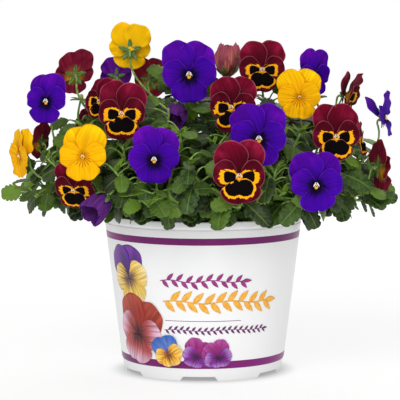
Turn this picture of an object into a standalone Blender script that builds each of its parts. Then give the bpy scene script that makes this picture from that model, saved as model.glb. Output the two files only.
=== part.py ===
"""A pansy plant in flower in a round moulded pot: pot, potting mix, leafy shoots and blooms.

Metres, +Z up. The origin is on the floor, on the pot's axis. Blooms face -Y at the front.
"""
import math

import bmesh
import bpy
from mathutils import Matrix, Vector
from mathutils.bvhtree import BVHTree

GAP = 0.0003                # seat gap between pieces that touch
CLEAR = 0.0008              # how much a trial piece is fattened when its room is tested

# Pot: a tapered wall, a rolled rim and a foot ring that is cut into six feet.
POT_HEIGHT = 0.1735
RIM_RADIUS = 0.108
RIM_DEPTH = 0.007
WALL_TOP_RADIUS = 0.1067
WALL_FOOT_RADIUS = 0.0880
WALL = 0.0016
FOOT_STEP_HEIGHT = 0.0165
FOOT_RADIUS = 0.0840
FOOT_WIDTH = 0.0030
FLOOR_UNDERSIDE = 0.0060
FEET = 6
NOTCH_HEIGHT = 0.0050
NOTCH_ANGLE = 30.0          # width of each notch at the floor, degrees
NOTCH_START = -93.0         # middle of the front notch, degrees from +X
DRAIN_HOLES = 6
DRAIN_HOLE_RADIUS = 0.0045
DRAIN_CIRCLE = 0.055
POT_SIDES = 36

# Potting mix: fills the pot to just under the rim and is crowned in the middle.
MIX_EDGE_HEIGHT = 0.1600
MIX_CROWN_HEIGHT = 0.1680
POCKET_DEPTH = 0.0120       # how deep each shoot is rooted

# Shoots: rings of leaning stems. base and tip are distances from the axis.
RINGS = (
    {"count": 12, "turn": 8.0, "base": 0.072, "tip": 0.142, "height": 0.206, "leaves": 7},
    {"count": 7, "turn": 20.0, "base": 0.042, "tip": 0.088, "height": 0.256, "leaves": 6},
    {"count": 3, "turn": 75.0, "base": 0.016, "tip": 0.030, "height": 0.282, "leaves": 5},
)
STEM_RADIUS = 0.0028
STEM_TIP_RADIUS = 0.0017
STEM_STEPS = 3              # straight runs above the collar
STALK_RADIUS = 0.0012
LEAF_ANGLE = 137.5          # turn from one leaf to the next, degrees
PETIOLE = 0.016
BLADE_LENGTH = 0.033
BLADE_HALF_WIDTH = 0.0115
BLADE_THICKNESS = 0.0016

# Bloom forms, for a bloom 1 unit wide: each petal's direction from the throat in degrees
# from +X, its length, half width, depth at the throat along the facing direction, and tilt
# of its outer edge in degrees (plus is forward).
PETALS = (
    {"turn": 125.0, "length": 0.50, "half": 0.27, "depth": -0.070, "tilt": -3.0},
    {"turn": 55.0, "length": 0.50, "half": 0.27, "depth": -0.040, "tilt": -3.0},
    {"turn": 187.0, "length": 0.49, "half": 0.25, "depth": -0.010, "tilt": 7.0},
    {"turn": -7.0, "length": 0.49, "half": 0.25, "depth": 0.012, "tilt": 7.0},
    {"turn": -90.0, "length": 0.50, "half": 0.29, "depth": 0.036, "tilt": 6.0},
)
PETAL_THICKNESS = 0.020
PETAL_OUTLINE = ((0.02, 0.12), (0.50, 1.0), (1.0, 0.62))   # shares of length and half width
CORE_DEPTHS = (0.045, -0.17)        # front and back of the throat and calyx
CORE_RADIUS = 0.065
CALYX_TURN = 11.0           # keeps the cup's edges off the petals' edges, degrees

# Blooms: kind, form, middle in millimetres, width in millimetres, facing in degrees
# (azimuth from the front towards +X, then upward tilt).
BLOOMS = (
    ("gold", "bloom", (-80, 20, 355), 50, (180, 12)),
    ("purple", "bloom", (-15, -50, 330), 62, (4, 4)),
    ("purple", "bloom", (-170, -30, 300), 52, (-22, 4)),
    ("maroon", "bloom", (-143, 38, 326), 46, (-160, 8)),
    ("purple", "bloom", (-98, 70, 322), 40, (-165, 5)),
    ("maroon", "bloom", (-86, -90, 290), 57, (-8, 2)),
    ("maroon", "bloom", (-112, -40, 300), 42, (-35, 10)),
    ("gold", "bloom", (-200, -30, 240), 48, (-58, -8)),
    ("gold", "bloom", (-126, -118, 247), 54, (-12, 2)),
    ("maroon", "bloom", (-138, -92, 208), 50, (-22, -24)),
    ("purple", "furled", (-108, -116, 194), 30, (-50, -35)),
    ("maroon", "bloom", (-58, 58, 318), 42, (165, 0)),
    ("maroon", "furled", (27, 30, 336), 34, (20, 80)),
    ("maroon", "bloom", (64, -28, 334), 52, (2, 2)),
    ("maroon", "bloom", (30, -82, 296), 55, (-14, 2)),
    ("purple", "bloom", (122, -8, 326), 46, (38, -14)),
    ("gold", "bloom", (103, -62, 306), 51, (4, 6)),
    ("purple", "bloom", (58, -134, 267), 62, (0, 2)),
    ("maroon", "bloom", (141, -92, 266), 57, (14, 2)),
    ("maroon", "bloom", (160, 6, 303), 48, (72, -14)),
    ("purple", "bloom", (201, 12, 280), 46, (78, 14)),
    ("maroon", "bloom", (194, -28, 227), 50, (118, -14)),
    ("maroon", "bloom", (37, -172, 231), 60, (0, -4)),
    ("purple", "bloom", (118, -132, 218), 58, (6, -2)),
    ("purple", "furled", (-28, -34, 286), 26, (-20, -40)),
    ("maroon", "bloom", (172, -44, 258), 36, (70, 0)),
    ("maroon", "bloom", (-182, 26, 250), 38, (-120, 0)),
    ("purple", "bloom", (-51, -134, 245), 56, (-8, 0)),
    ("gold", "bloom", (52, 146, 240), 54, (165, 0)),
    ("purple", "bloom", (-52, 128, 262), 58, (-165, 4)),
    ("maroon", "bloom", (118, 108, 262), 54, (135, 4)),
    ("purple", "bloom", (22, 78, 290), 54, (175, 8)),
    ("maroon", "bloom", (-132, 104, 254), 54, (-135, 2)),
    ("maroon", "bloom", (-14, 168, 214), 56, (180, -6)),
    ("purple", "bloom", (104, 152, 205), 52, (150, -6)),
    ("gold", "bloom", (-92, 152, 212), 52, (-155, -6)),
)
MM = 0.001

COLOURS = {
    "pot": (0.86, 0.86, 0.87),
    "mix": (0.030, 0.020, 0.014),
    "leaf": (0.060, 0.150, 0.028),
    "maroon": (0.230, 0.008, 0.035),
    "purple": (0.085, 0.008, 0.360),
    "gold": (0.880, 0.480, 0.006),
}
ROUGHNESS = {"pot": 0.32, "mix": 0.95, "leaf": 0.55, "maroon": 0.7, "purple": 0.7, "gold": 0.65}


# ---------------------------------------------------------------- scene and materials

def clear_scene():
    for obj in list(bpy.data.objects):
        bpy.data.objects.remove(obj, do_unlink=True)


def new_collection(name):
    collection = bpy.data.collections.new(name)
    bpy.context.scene.collection.children.link(collection)
    return collection


def new_material(name):
    material = bpy.data.materials.new(name)
    material.use_nodes = True
    shader = material.node_tree.nodes["Principled BSDF"]
    shader.inputs["Base Color"].default_value = (*COLOURS[name], 1.0)
    shader.inputs["Roughness"].default_value = ROUGHNESS[name]
    shader.inputs["Metallic"].default_value = 0.0
    material.diffuse_color = (*COLOURS[name], 1.0)
    return material


def add_object(name, mesh, collection, material=None):
    obj = bpy.data.objects.new(name, mesh)
    collection.objects.link(obj)
    if material and not mesh.materials:
        mesh.materials.append(material)
    return obj


def add_cutter(name, mesh):
    cutter = add_object(name, mesh, bpy.data.collections["cutters"])
    cutter.hide_render = True
    cutter.display_type = "WIRE"
    return cutter


def evaluated_mesh(obj):
    bpy.context.view_layer.update()
    graph = bpy.context.evaluated_depsgraph_get()
    return bpy.data.meshes.new_from_object(obj.evaluated_get(graph))


def boolean(obj, cutter, operation):
    modifier = obj.modifiers.new(cutter.name, "BOOLEAN")
    modifier.operation = operation
    modifier.solver = "EXACT"
    modifier.object = cutter


def united(name, meshes):
    """One closed mesh from several that run into each other."""
    cutters = bpy.data.collections["cutters"]
    base = add_object(name + "_base", meshes[0], cutters)
    others = [add_object(name + "_piece", mesh, cutters) for mesh in meshes[1:]]
    for other in others:
        boolean(base, other, "UNION")
    mesh = evaluated_mesh(base)
    mesh.name = name
    for obj in [base] + others:
        bpy.data.objects.remove(obj, do_unlink=True)
    return mesh


# ---------------------------------------------------------------- basic shapes

def turned_mesh(name, profile, sides):
    """A profile of (radius, height) points turned about the Z axis."""
    mesh = bpy.data.meshes.new(name)
    points = [(radius, 0.0, height) for radius, height in profile]
    mesh.from_pydata(points, [(i, i + 1) for i in range(len(points) - 1)], [])
    obj = add_object(name, mesh, bpy.data.collections["cutters"])
    screw = obj.modifiers.new("turn", "SCREW")
    screw.steps = sides
    screw.render_steps = sides
    screw.use_merge_vertices = True
    screw.merge_threshold = 0.00001
    turned = evaluated_mesh(obj)
    bpy.data.objects.remove(obj, do_unlink=True)
    return turned


def tube_mesh(name, points, radius, tip_radius, rings):
    """A tapering round rod along points; rings 0 gives four sides, 1 gives six."""
    curve = bpy.data.curves.new(name, "CURVE")
    curve.dimensions = "3D"
    curve.bevel_depth = radius
    curve.bevel_resolution = rings
    curve.use_fill_caps = True
    spline = curve.splines.new("POLY")
    spline.points.add(len(points) - 1)
    for index, point in enumerate(points):
        share = index / (len(points) - 1)
        spline.points[index].co = (*point, 1.0)
        spline.points[index].radius = 1.0 + (tip_radius / radius - 1.0) * share
    obj = add_object(name, curve, bpy.data.collections["cutters"])
    mesh = evaluated_mesh(obj)
    bpy.data.objects.remove(obj, do_unlink=True)
    weld(mesh)
    return mesh


def weld(mesh):
    bm = bmesh.new()
    bm.from_mesh(mesh)
    bmesh.ops.remove_doubles(bm, verts=bm.verts, dist=0.00001)
    bmesh.ops.recalc_face_normals(bm, faces=bm.faces)
    bm.to_mesh(mesh)
    bm.free()


def lofted_mesh(name, sections):
    """A closed skin over sections that have the same number of points, capped at both ends."""
    bm = bmesh.new()
    rings = [[bm.verts.new(point) for point in section] for section in sections]
    for lower, upper in zip(rings, rings[1:]):
        for index in range(len(lower)):
            following = (index + 1) % len(lower)
            bm.faces.new((lower[index], lower[following], upper[following], upper[index]))
    bm.faces.new(rings[0])
    bm.faces.new(rings[-1])
    bmesh.ops.recalc_face_normals(bm, faces=bm.faces)
    mesh = bpy.data.meshes.new(name)
    bm.to_mesh(mesh)
    bm.free()
    return mesh


def prism_mesh(name, radius, low, high, place, sides):
    """An upright round bar at place, between two heights."""
    bm = bmesh.new()
    move = Matrix.Translation((place[0], place[1], (low + high) / 2))
    bmesh.ops.create_cone(bm, cap_ends=True, segments=sides, radius1=radius, radius2=radius,
                          depth=high - low, matrix=move)
    mesh = bpy.data.meshes.new(name)
    bm.to_mesh(mesh)
    bm.free()
    return mesh


# ---------------------------------------------------------------- room between pieces

class Room:
    """The places already taken, and a test of whether a trial piece is clear of them."""

    def __init__(self):
        self.taken = []

    def entry(self, mesh, matrix, owner):
        points = [matrix @ vertex.co for vertex in mesh.vertices]
        faces = [tuple(polygon.vertices) for polygon in mesh.polygons]
        low = [min(point[axis] for point in points) for axis in range(3)]
        high = [max(point[axis] for point in points) for axis in range(3)]
        return {"owner": owner, "tree": BVHTree.FromPolygons(points, faces), "box": (low, high)}

    def add(self, mesh, owner, matrix=Matrix()):
        self.taken.append(self.entry(mesh, matrix, owner))

    def is_clear(self, mesh, ignore=()):
        trial = self.entry(mesh, Matrix(), None)
        for other in self.taken:
            if other["owner"] in ignore or not boxes_meet(trial["box"], other["box"]):
                continue
            if trial["tree"].overlap(other["tree"]):
                return False
        return True


def boxes_meet(first, second):
    return all(first[0][axis] < second[1][axis] and second[0][axis] < first[1][axis]
               for axis in range(3))


# ---------------------------------------------------------------- pot and potting mix

def wall_radius(height):
    """Outer radius of the tapered wall at a height."""
    top = POT_HEIGHT - RIM_DEPTH
    share = (height - FOOT_STEP_HEIGHT) / (top - FOOT_STEP_HEIGHT)
    return WALL_FOOT_RADIUS + (WALL_TOP_RADIUS - WALL_FOOT_RADIUS) * share


def pot_profile():
    under_rim = POT_HEIGHT - RIM_DEPTH
    floor = FLOOR_UNDERSIDE + WALL
    inner_foot = wall_radius(FOOT_STEP_HEIGHT) - WALL
    return [
        (0.0, floor),
        (inner_foot - 0.004, floor),
        (inner_foot, floor + 0.004),
        (wall_radius(under_rim) - WALL, under_rim),
        (RIM_RADIUS - 0.0035, POT_HEIGHT - 0.0008),
        (RIM_RADIUS - 0.0025, POT_HEIGHT),
        (RIM_RADIUS - 0.0008, POT_HEIGHT),
        (RIM_RADIUS, POT_HEIGHT - 0.0010),
        (RIM_RADIUS, under_rim + 0.0008),
        (wall_radius(under_rim), under_rim),
        (WALL_FOOT_RADIUS, FOOT_STEP_HEIGHT),
        (WALL_FOOT_RADIUS - 0.0008, FOOT_STEP_HEIGHT - 0.0012),
        (FOOT_RADIUS, 0.0),
        (FOOT_RADIUS - FOOT_WIDTH, 0.0),
        (FOOT_RADIUS - FOOT_WIDTH - 0.0010, FLOOR_UNDERSIDE),
        (0.0, FLOOR_UNDERSIDE),
    ]


def notch_cutter(index):
    """A wedge with slanted ends that lifts the foot ring off the floor between two feet."""
    middle = math.radians(NOTCH_START + index * 360.0 / FEET)
    half = math.radians(NOTCH_ANGLE / 2)
    slant = NOTCH_HEIGHT / FOOT_RADIUS
    sections = []
    for radius in (FOOT_RADIUS - 0.010, FOOT_RADIUS + 0.010):
        corners = ((-half, -0.001), (half, -0.001), (half - slant, NOTCH_HEIGHT),
                   (0.0, NOTCH_HEIGHT), (-half + slant, NOTCH_HEIGHT))
        sections.append([(radius * math.cos(middle + turn), radius * math.sin(middle + turn), height)
                         for turn, height in corners])
    return add_cutter("notch_cutter", lofted_mesh("notch_cutter", sections))


def build_pot(parts, material):
    pot = add_object("pot", turned_mesh("pot", pot_profile(), POT_SIDES), parts, material)
    for index in range(FEET):
        boolean(pot, notch_cutter(index), "DIFFERENCE")
    for index in range(DRAIN_HOLES):
        turn = 2 * math.pi * index / DRAIN_HOLES
        place = (DRAIN_CIRCLE * math.cos(turn), DRAIN_CIRCLE * math.sin(turn))
        hole = prism_mesh("drain_cutter", DRAIN_HOLE_RADIUS, 0.001, 0.012, place, 8)
        boolean(pot, add_cutter("drain_cutter", hole), "DIFFERENCE")
    return pot


def mix_height(radius):
    """Height of the mix's crowned top at a distance from the axis."""
    return MIX_CROWN_HEIGHT + (MIX_EDGE_HEIGHT - MIX_CROWN_HEIGHT) * radius / mix_radius()


def mix_radius():
    return wall_radius(MIX_EDGE_HEIGHT) - WALL - GAP


def build_mix(parts, material, shoots):
    base = FLOOR_UNDERSIDE + WALL + GAP
    inner_foot = wall_radius(FOOT_STEP_HEIGHT) - WALL - GAP
    profile = [
        (0.0, MIX_CROWN_HEIGHT),
        (mix_radius(), MIX_EDGE_HEIGHT),
        (inner_foot, FOOT_STEP_HEIGHT),
        (inner_foot - 0.0052, base),
        (0.0, base),
    ]
    mix = add_object("potting_mix", turned_mesh("potting_mix", profile, POT_SIDES), parts, material)
    for shoot in shoots:
        root = shoot["stem"][0]
        pocket = prism_mesh("pocket_cutter", STEM_RADIUS * 1.15 + GAP, root.z - GAP, POT_HEIGHT,
                            root, 6)
        boolean(mix, add_cutter("pocket_cutter", pocket), "DIFFERENCE")
    return mix


# ---------------------------------------------------------------- blooms

def petal_mesh(petal):
    """A flat fan with a keel behind it, from the throat to its outer edge."""
    turn = math.radians(petal["turn"])
    tilt = math.radians(petal["tilt"])
    out = Vector((math.cos(turn) * math.cos(tilt), math.sin(turn) * math.cos(tilt), math.sin(tilt)))
    side = Vector((-math.sin(turn), math.cos(turn), 0.0))
    front = out.cross(side)
    sections = []
    for share, width in PETAL_OUTLINE:
        middle = out * petal["length"] * share + Vector((0.0, 0.0, petal["depth"]))
        wide = side * petal["half"] * width
        sections.append((middle - wide, middle + wide, middle - front * PETAL_THICKNESS))
    return lofted_mesh("petal", sections)


def calyx_mesh(depth, length, radius):
    """The throat and the green cup behind it, with its axis along the facing direction."""
    move = Matrix.Translation((0.0, 0.0, depth - length / 2))
    spin = Matrix.Rotation(math.radians(CALYX_TURN), 4, "Z")
    bm = bmesh.new()
    bmesh.ops.create_cone(bm, cap_ends=True, segments=6, radius1=radius * 0.45, radius2=radius,
                          depth=length, matrix=move @ spin)
    mesh = bpy.data.meshes.new("calyx")
    bm.to_mesh(mesh)
    bm.free()
    return mesh


STUBS = {
    "bloom": ((0.0, 0.0, -0.14), (0.0, -0.05, -0.235), (0.0, -0.22, -0.245)),
    "furled": ((0.0, 0.0, -0.50), (0.0, 0.0, -0.62), (0.0, 0.0, -0.76)),
}


def open_form():
    """Five overlapping petals, the calyx, and the hooked neck of the flower stalk."""
    front, back = CORE_DEPTHS
    pieces = [calyx_mesh(front, front - back, CORE_RADIUS)]
    pieces += [petal_mesh(petal) for petal in PETALS]
    pieces.append(tube_mesh("neck", STUBS["bloom"], 0.024, 0.022, 0))
    return united("open_form", pieces)


def furled_form():
    """A rolled, closed flower: an egg of petals on its calyx and neck."""
    profile = [(0.0, 0.52), (0.24, 0.46), (0.44, 0.20), (0.42, -0.08), (0.22, -0.36), (0.0, -0.42)]
    pieces = [turned_mesh("petals", profile, 8)]
    pieces.append(calyx_mesh(-0.30, 0.26, 0.16))
    pieces.append(tube_mesh("neck", STUBS["furled"], 0.045, 0.040, 0))
    return united("furled_form", pieces)


def facing_matrix(place, facing, width):
    """Turn a form whose face looks along local +Z and whose top is local +Y."""
    azimuth, tilt = (math.radians(angle) for angle in facing)
    front = Vector((math.sin(azimuth) * math.cos(tilt), -math.cos(azimuth) * math.cos(tilt),
                    math.sin(tilt)))
    right = Vector((math.cos(azimuth), math.sin(azimuth), 0.0))
    top = front.cross(right)
    turn = Matrix((right, top, front)).transposed().to_4x4()
    return Matrix.Translation(place) @ turn @ Matrix.Scale(width, 4)


def plan_blooms():
    blooms = []
    counts = {}
    for kind, form, place, width, facing in BLOOMS:
        counts[form, kind] = counts.get((form, kind), 0) + 1
        matrix = facing_matrix(Vector(place) * MM, facing, width * MM)
        blooms.append({
            "name": f"{form}_{kind}_{counts[form, kind]:02d}",
            "kind": kind,
            "form": form,
            "matrix": matrix,
            "neck": [matrix @ Vector(point) for point in STUBS[form][-2:]],
        })
    return blooms


def build_blooms(parts, materials, blooms, forms, room):
    for bloom in blooms:
        mesh = forms[bloom["form"]]
        key = bloom["form"] + "_" + bloom["kind"]
        if key not in forms:
            forms[key] = mesh.copy()
        obj = add_object(bloom["name"], forms[key], parts, materials[bloom["kind"]])
        obj.matrix_world = bloom["matrix"]
        room.add(mesh, bloom["name"], bloom["matrix"])


# ---------------------------------------------------------------- shoots

def stem_points(ring, azimuth):
    """From its pocket in the mix a stem rises, then leans out to its tip."""
    out = Vector((math.cos(azimuth), math.sin(azimuth), 0.0))
    surface = mix_height(ring["base"])
    root = out * ring["base"] + Vector((0.0, 0.0, surface - POCKET_DEPTH + GAP))
    collar = out * ring["base"] + Vector((0.0, 0.0, surface + 0.004))
    tip = out * ring["tip"] + Vector((0.0, 0.0, ring["height"]))
    elbow = out * (ring["base"] * 0.8 + ring["tip"] * 0.2)
    elbow.z = surface + (ring["height"] - surface) * 0.55
    points = [root]
    for step in range(STEM_STEPS + 1):
        share = step / STEM_STEPS
        points.append(collar * (1 - share) ** 2 + elbow * (2 * share * (1 - share)) + tip * share ** 2)
    return points


def plan_shoots():
    """Every shoot, in rings from the outside in."""
    shoots = []
    for ring in RINGS:
        for index in range(ring["count"]):
            azimuth = math.radians(ring["turn"] + index * 360.0 / ring["count"])
            number = len(shoots) + 1
            shoots.append({
                "name": f"shoot_{number:02d}",
                "stem": stem_points(ring, azimuth),
                "leaves": ring["leaves"],
                "turn": number * 53.0,
                "pieces": [],
                "stalks": 0,
            })
    return shoots


def clear_stem(shoot, room):
    """A stem with a bloom in its way stops short of it."""
    while True:
        trial = tube_mesh("trial", shoot["stem"], STEM_RADIUS + CLEAR, STEM_TIP_RADIUS + CLEAR, 0)
        if room.is_clear(trial):
            break
        collar = shoot["stem"][1]
        shoot["stem"] = [shoot["stem"][0]] + [collar.lerp(point, 0.93) for point in shoot["stem"][1:]]


def along(points, share):
    """The point and the direction at a share of the way along a stem, above its pocket."""
    place = 1 + share * (len(points) - 2)
    index = min(int(place), len(points) - 2)
    start, end = points[index], points[index + 1]
    return start.lerp(end, place - index), (end - start).normalized()


def bezier(start, first, second, end, count):
    points = []
    for step in range(count + 1):
        t = step / count
        points.append(start * (1 - t) ** 3 + first * (3 * t * (1 - t) ** 2)
                      + second * (3 * t * t * (1 - t)) + end * t ** 3)
    return points


def stalk_routes(shoot, bloom):
    """Trial routes from a stem up to a bloom's neck, from the most direct to the most bowed."""
    before, neck = bloom["neck"]
    leaving = (neck - before).normalized()
    end = neck + leaving * GAP
    meet = end + leaving * STALK_RADIUS * 3
    for share in (0.80, 0.60, 0.95, 0.42, 0.25):
        start, direction = along(shoot["stem"], share)
        reach = (end - start).length
        side = direction.cross(end - start)
        side = side.normalized() if side.length > 1e-6 else Vector((1.0, 0.0, 0.0))
        for bow in (0.0, 0.15, -0.15, 0.30, -0.30, 0.45, -0.45):
            for pull in (0.35, 0.55):
                first = start + direction * reach * 0.3 + side * reach * bow
                second = meet + leaving * reach * pull + side * reach * bow
                yield bezier(start, first, second, meet, 4) + [end]


def grow_stalks(shoots, blooms, room):
    """Each bloom is carried by the nearest stem that has a clear way up to its neck."""
    for bloom in blooms:
        neck = bloom["neck"][1]
        order = sorted(shoots, key=lambda s: (s["stem"][-2] - neck).length + 0.02 * s["stalks"])
        route, shoot = first_clear_route(order, bloom, room)
        if route is None:
            print("no clear stalk for", bloom["name"])
            continue
        mesh = tube_mesh("stalk", route, STALK_RADIUS, STALK_RADIUS, 0)
        shoot["pieces"].append(mesh)
        shoot["stalks"] += 1
        room.add(mesh, shoot["name"])


def first_clear_route(order, bloom, room):
    for shoot in order[:9]:
        for route in stalk_routes(shoot, bloom):
            fat = STALK_RADIUS + CLEAR
            end = route[-1] + (route[-2] - route[-1]).normalized() * CLEAR * 1.5
            trial = tube_mesh("trial", route[:-1] + [end], fat, fat, 0)
            if room.is_clear(trial, ignore=(shoot["name"],)):
                return route, shoot
    return None, None


def leaf_mesh(base, heading, size, grow=0.0, skip=0.0):
    """A three-cornered petiole that widens into a flat, drooping, keeled blade.

    A trial leaf grows by its clearance all round and skips the part that joins the stem.
    """
    side = heading.cross(Vector((0.0, 0.0, 1.0)))
    side = side.normalized() if side.length > 0.05 else Vector((1.0, 0.0, 0.0))
    droop = Matrix.Rotation(math.radians(-20.0), 3, side)
    outward = droop @ heading
    tipward = droop @ outward
    length = BLADE_LENGTH * size
    stalk_end = base + heading * PETIOLE * size
    middle = stalk_end + outward * length * 0.36
    shoulder = middle + outward * length * 0.34
    tip = shoulder + tipward * length * 0.30
    half = BLADE_HALF_WIDTH * size
    stations = (
        (base + heading * skip, heading, 0.0010, 0.0010, 0.0012),
        (stalk_end, heading, 0.0012, 0.0008, 0.0012),
        (middle, outward, half, 0.0, BLADE_THICKNESS),
        (shoulder, outward, half * 0.86, 0.0, BLADE_THICKNESS),
        (tip, tipward, half * 0.22, 0.0, BLADE_THICKNESS * 0.6),
    )
    sections = []
    for place, ahead, wide, top, keel in stations:
        up = side.cross(ahead).normalized()
        sections.append((
            place + side * (wide + grow) + up * (top + grow),
            place - side * (wide + grow) + up * (top + grow),
            place - up * (keel + grow * 2),
        ))
    return lofted_mesh("leaf", sections)


def leaf_headings(direction, turn, spread):
    """Trial headings about a stem, from the regular place to ones turned or lifted out of it."""
    across = direction.cross(Vector((0.0, 0.0, 1.0)))
    across = across.normalized() if across.length > 0.05 else Vector((1.0, 0.0, 0.0))
    other = direction.cross(across)
    for lift in (0.25, 0.6, 0.0, 1.0):
        for shift in (0, 18, -18, 36, -36, 60, -60, 90, -90):
            angle = math.radians(turn + shift)
            out = across * math.cos(angle) + other * math.sin(angle)
            heading = out * math.sin(spread) + direction * math.cos(spread)
            yield (heading + Vector((0.0, 0.0, lift))).normalized()


def grow_leaves(shoots, room):
    """Leaves climb each stem in a spiral, and each takes the first place with room for it."""
    most = max(shoot["leaves"] for shoot in shoots)
    for index in range(most):
        for shoot in shoots:
            if index < shoot["leaves"]:
                grow_leaf(shoot, index, room)


def grow_leaf(shoot, index, room):
    share = 1.0 - 0.80 * index / (shoot["leaves"] - 1)
    place, direction = along(shoot["stem"], min(share, 0.97))
    spread = math.radians(35.0 + 45.0 * (1.0 - share))
    regular = 0.80 + 0.32 * math.sin(math.pi * min(1.0, 1.15 - share))
    for size in (regular, regular * 0.8, regular * 0.6):
        for heading in leaf_headings(direction, shoot["turn"] + index * LEAF_ANGLE, spread):
            trial = leaf_mesh(place, heading, size, CLEAR, 0.005)
            if not room.is_clear(trial, ignore=(shoot["name"],)):
                continue
            mesh = leaf_mesh(place, heading, size)
            shoot["pieces"].append(mesh)
            room.add(mesh, shoot["name"] + "_leaf")
            return


def build_shoots(parts, material, shoots):
    for shoot in shoots:
        stem = tube_mesh("stem", shoot["stem"], STEM_RADIUS, STEM_TIP_RADIUS, 1)
        mesh = united(shoot["name"], [stem] + shoot["pieces"])
        add_object(shoot["name"], mesh, parts, material)


# ---------------------------------------------------------------- the whole planter

def main():
    clear_scene()
    parts = new_collection("potted_pansy_planter")
    new_collection("cutters")
    materials = {name: new_material(name) for name in COLOURS}
    shoots = plan_shoots()
    blooms = plan_blooms()
    pot = build_pot(parts, materials["pot"])
    mix = build_mix(parts, materials["mix"], shoots)

    room = Room()
    build_blooms(parts, materials, blooms, {"bloom": open_form(), "furled": furled_form()}, room)
    for shoot in shoots:
        clear_stem(shoot, room)
    room.add(evaluated_mesh(pot), "pot")
    room.add(evaluated_mesh(mix), "potting_mix")
    for shoot in shoots:
        room.add(tube_mesh("stem", shoot["stem"], STEM_RADIUS, STEM_TIP_RADIUS, 1), shoot["name"])
    grow_stalks(shoots, blooms, room)
    grow_leaves(shoots, room)
    build_shoots(parts, materials["leaf"], shoots)


main()
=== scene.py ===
import math
import random
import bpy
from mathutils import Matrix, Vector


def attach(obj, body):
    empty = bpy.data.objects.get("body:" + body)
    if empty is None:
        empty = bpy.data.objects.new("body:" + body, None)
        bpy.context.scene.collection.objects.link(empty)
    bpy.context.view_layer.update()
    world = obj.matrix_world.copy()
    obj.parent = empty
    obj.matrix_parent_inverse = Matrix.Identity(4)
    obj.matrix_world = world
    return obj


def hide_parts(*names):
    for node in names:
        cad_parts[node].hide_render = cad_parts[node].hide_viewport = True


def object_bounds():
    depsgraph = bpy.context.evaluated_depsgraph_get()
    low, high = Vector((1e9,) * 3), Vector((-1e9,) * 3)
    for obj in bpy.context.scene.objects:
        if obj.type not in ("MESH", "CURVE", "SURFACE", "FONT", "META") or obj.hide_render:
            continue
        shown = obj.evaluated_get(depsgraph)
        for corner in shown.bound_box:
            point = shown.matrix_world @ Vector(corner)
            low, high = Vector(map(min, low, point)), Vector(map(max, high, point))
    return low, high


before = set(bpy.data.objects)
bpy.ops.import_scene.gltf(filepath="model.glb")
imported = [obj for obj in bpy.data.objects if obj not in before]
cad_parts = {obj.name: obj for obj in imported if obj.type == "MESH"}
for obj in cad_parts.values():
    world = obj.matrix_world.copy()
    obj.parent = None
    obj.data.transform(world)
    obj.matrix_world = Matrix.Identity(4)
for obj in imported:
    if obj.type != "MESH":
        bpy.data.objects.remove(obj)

from types import SimpleNamespace

import bpy
import numpy as np
from mathutils import Matrix, Vector, noise

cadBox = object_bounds()
up = Vector((0, 0, 1))


# objects and meshes

def deselectAll():
    if bpy.context.object and bpy.context.object.mode != "OBJECT":
        bpy.ops.object.mode_set(mode="OBJECT")
    for obj in list(bpy.context.selected_objects):
        obj.select_set(False)


def makeActive(obj):
    deselectAll()
    obj.select_set(True)
    bpy.context.view_layer.objects.active = obj


def added(make, name, **shape):
    # a primitive, made by one of Blender's own calls
    deselectAll()
    make(**shape)
    obj = bpy.context.active_object
    obj.name = name
    return obj


def gridSheet(name, across, along):
    return added(bpy.ops.mesh.primitive_grid_add, name, x_subdivisions=across, y_subdivisions=along, size=2)


def applyModifiers(obj):
    makeActive(obj)
    for modifier in list(obj.modifiers):
        bpy.ops.object.modifier_apply(modifier=modifier.name)


def joinPieces(name, objects):
    makeActive(objects[0])
    for obj in objects[1:]:
        obj.select_set(True)
    if len(objects) > 1:
        bpy.ops.object.join()
    piece = bpy.context.view_layer.objects.active
    piece.name = piece.data.name = name
    return piece


def copyOf(master, name):
    copied = master.copy()
    copied.data = master.data.copy()
    copied.name = name
    bpy.context.scene.collection.objects.link(copied)
    return copied


def removeMasters(*masters):
    for master in masters:
        bpy.data.objects.remove(master, do_unlink=True)


def giveSkins(obj, skins):
    obj.data.materials.clear()
    for skin in skins:
        obj.data.materials.append(skin)


def thicken(sheet, thickness, skins):
    # skins are for the front, the back and the rim; with only one, it covers all three
    giveSkins(sheet, skins)
    solidify = sheet.modifiers.new("thickness", "SOLIDIFY")
    solidify.thickness = thickness
    solidify.offset = -1
    solidify.material_offset = 1
    solidify.material_offset_rim = len(skins) - 1
    applyModifiers(sheet)
    sheet.data.shade_smooth()
    return sheet


def faceAlong(sheet, facing=lambda polygon: up):
    # turns a sheet over if its front looks the wrong way
    if sum(polygon.normal.dot(facing(polygon)) * polygon.area for polygon in sheet.data.polygons) < 0:
        sheet.data.flip_normals()


def finishPiece(piece, slotName, *nodes):
    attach(piece, "root")
    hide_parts(*nodes)


def giveVectors(mesh, name, vectors):
    attribute = mesh.attributes.new(name, "FLOAT_VECTOR", "POINT")
    attribute.data.foreach_set("vector", np.array(vectors, np.float32).ravel())


def coordinates(mesh):
    points = np.empty(len(mesh.vertices) * 3, np.float32)
    mesh.vertices.foreach_get("co", points)
    return points.reshape(-1, 3).astype(float)


def smoothStep(value, low, high):
    share = min(1.0, max(0.0, (value - low) / (high - low)))
    return share * share * (3 - 2 * share)


def spinZ(degrees):
    return Matrix.Rotation(math.radians(degrees), 4, "Z")


def outAt(azimuth, wide=1.0, deep=1.0):
    return Vector((wide * math.cos(azimuth), deep * math.sin(azimuth), 0))


# what a material's node puts out: it adds, multiplies and compares as a number does

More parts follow.
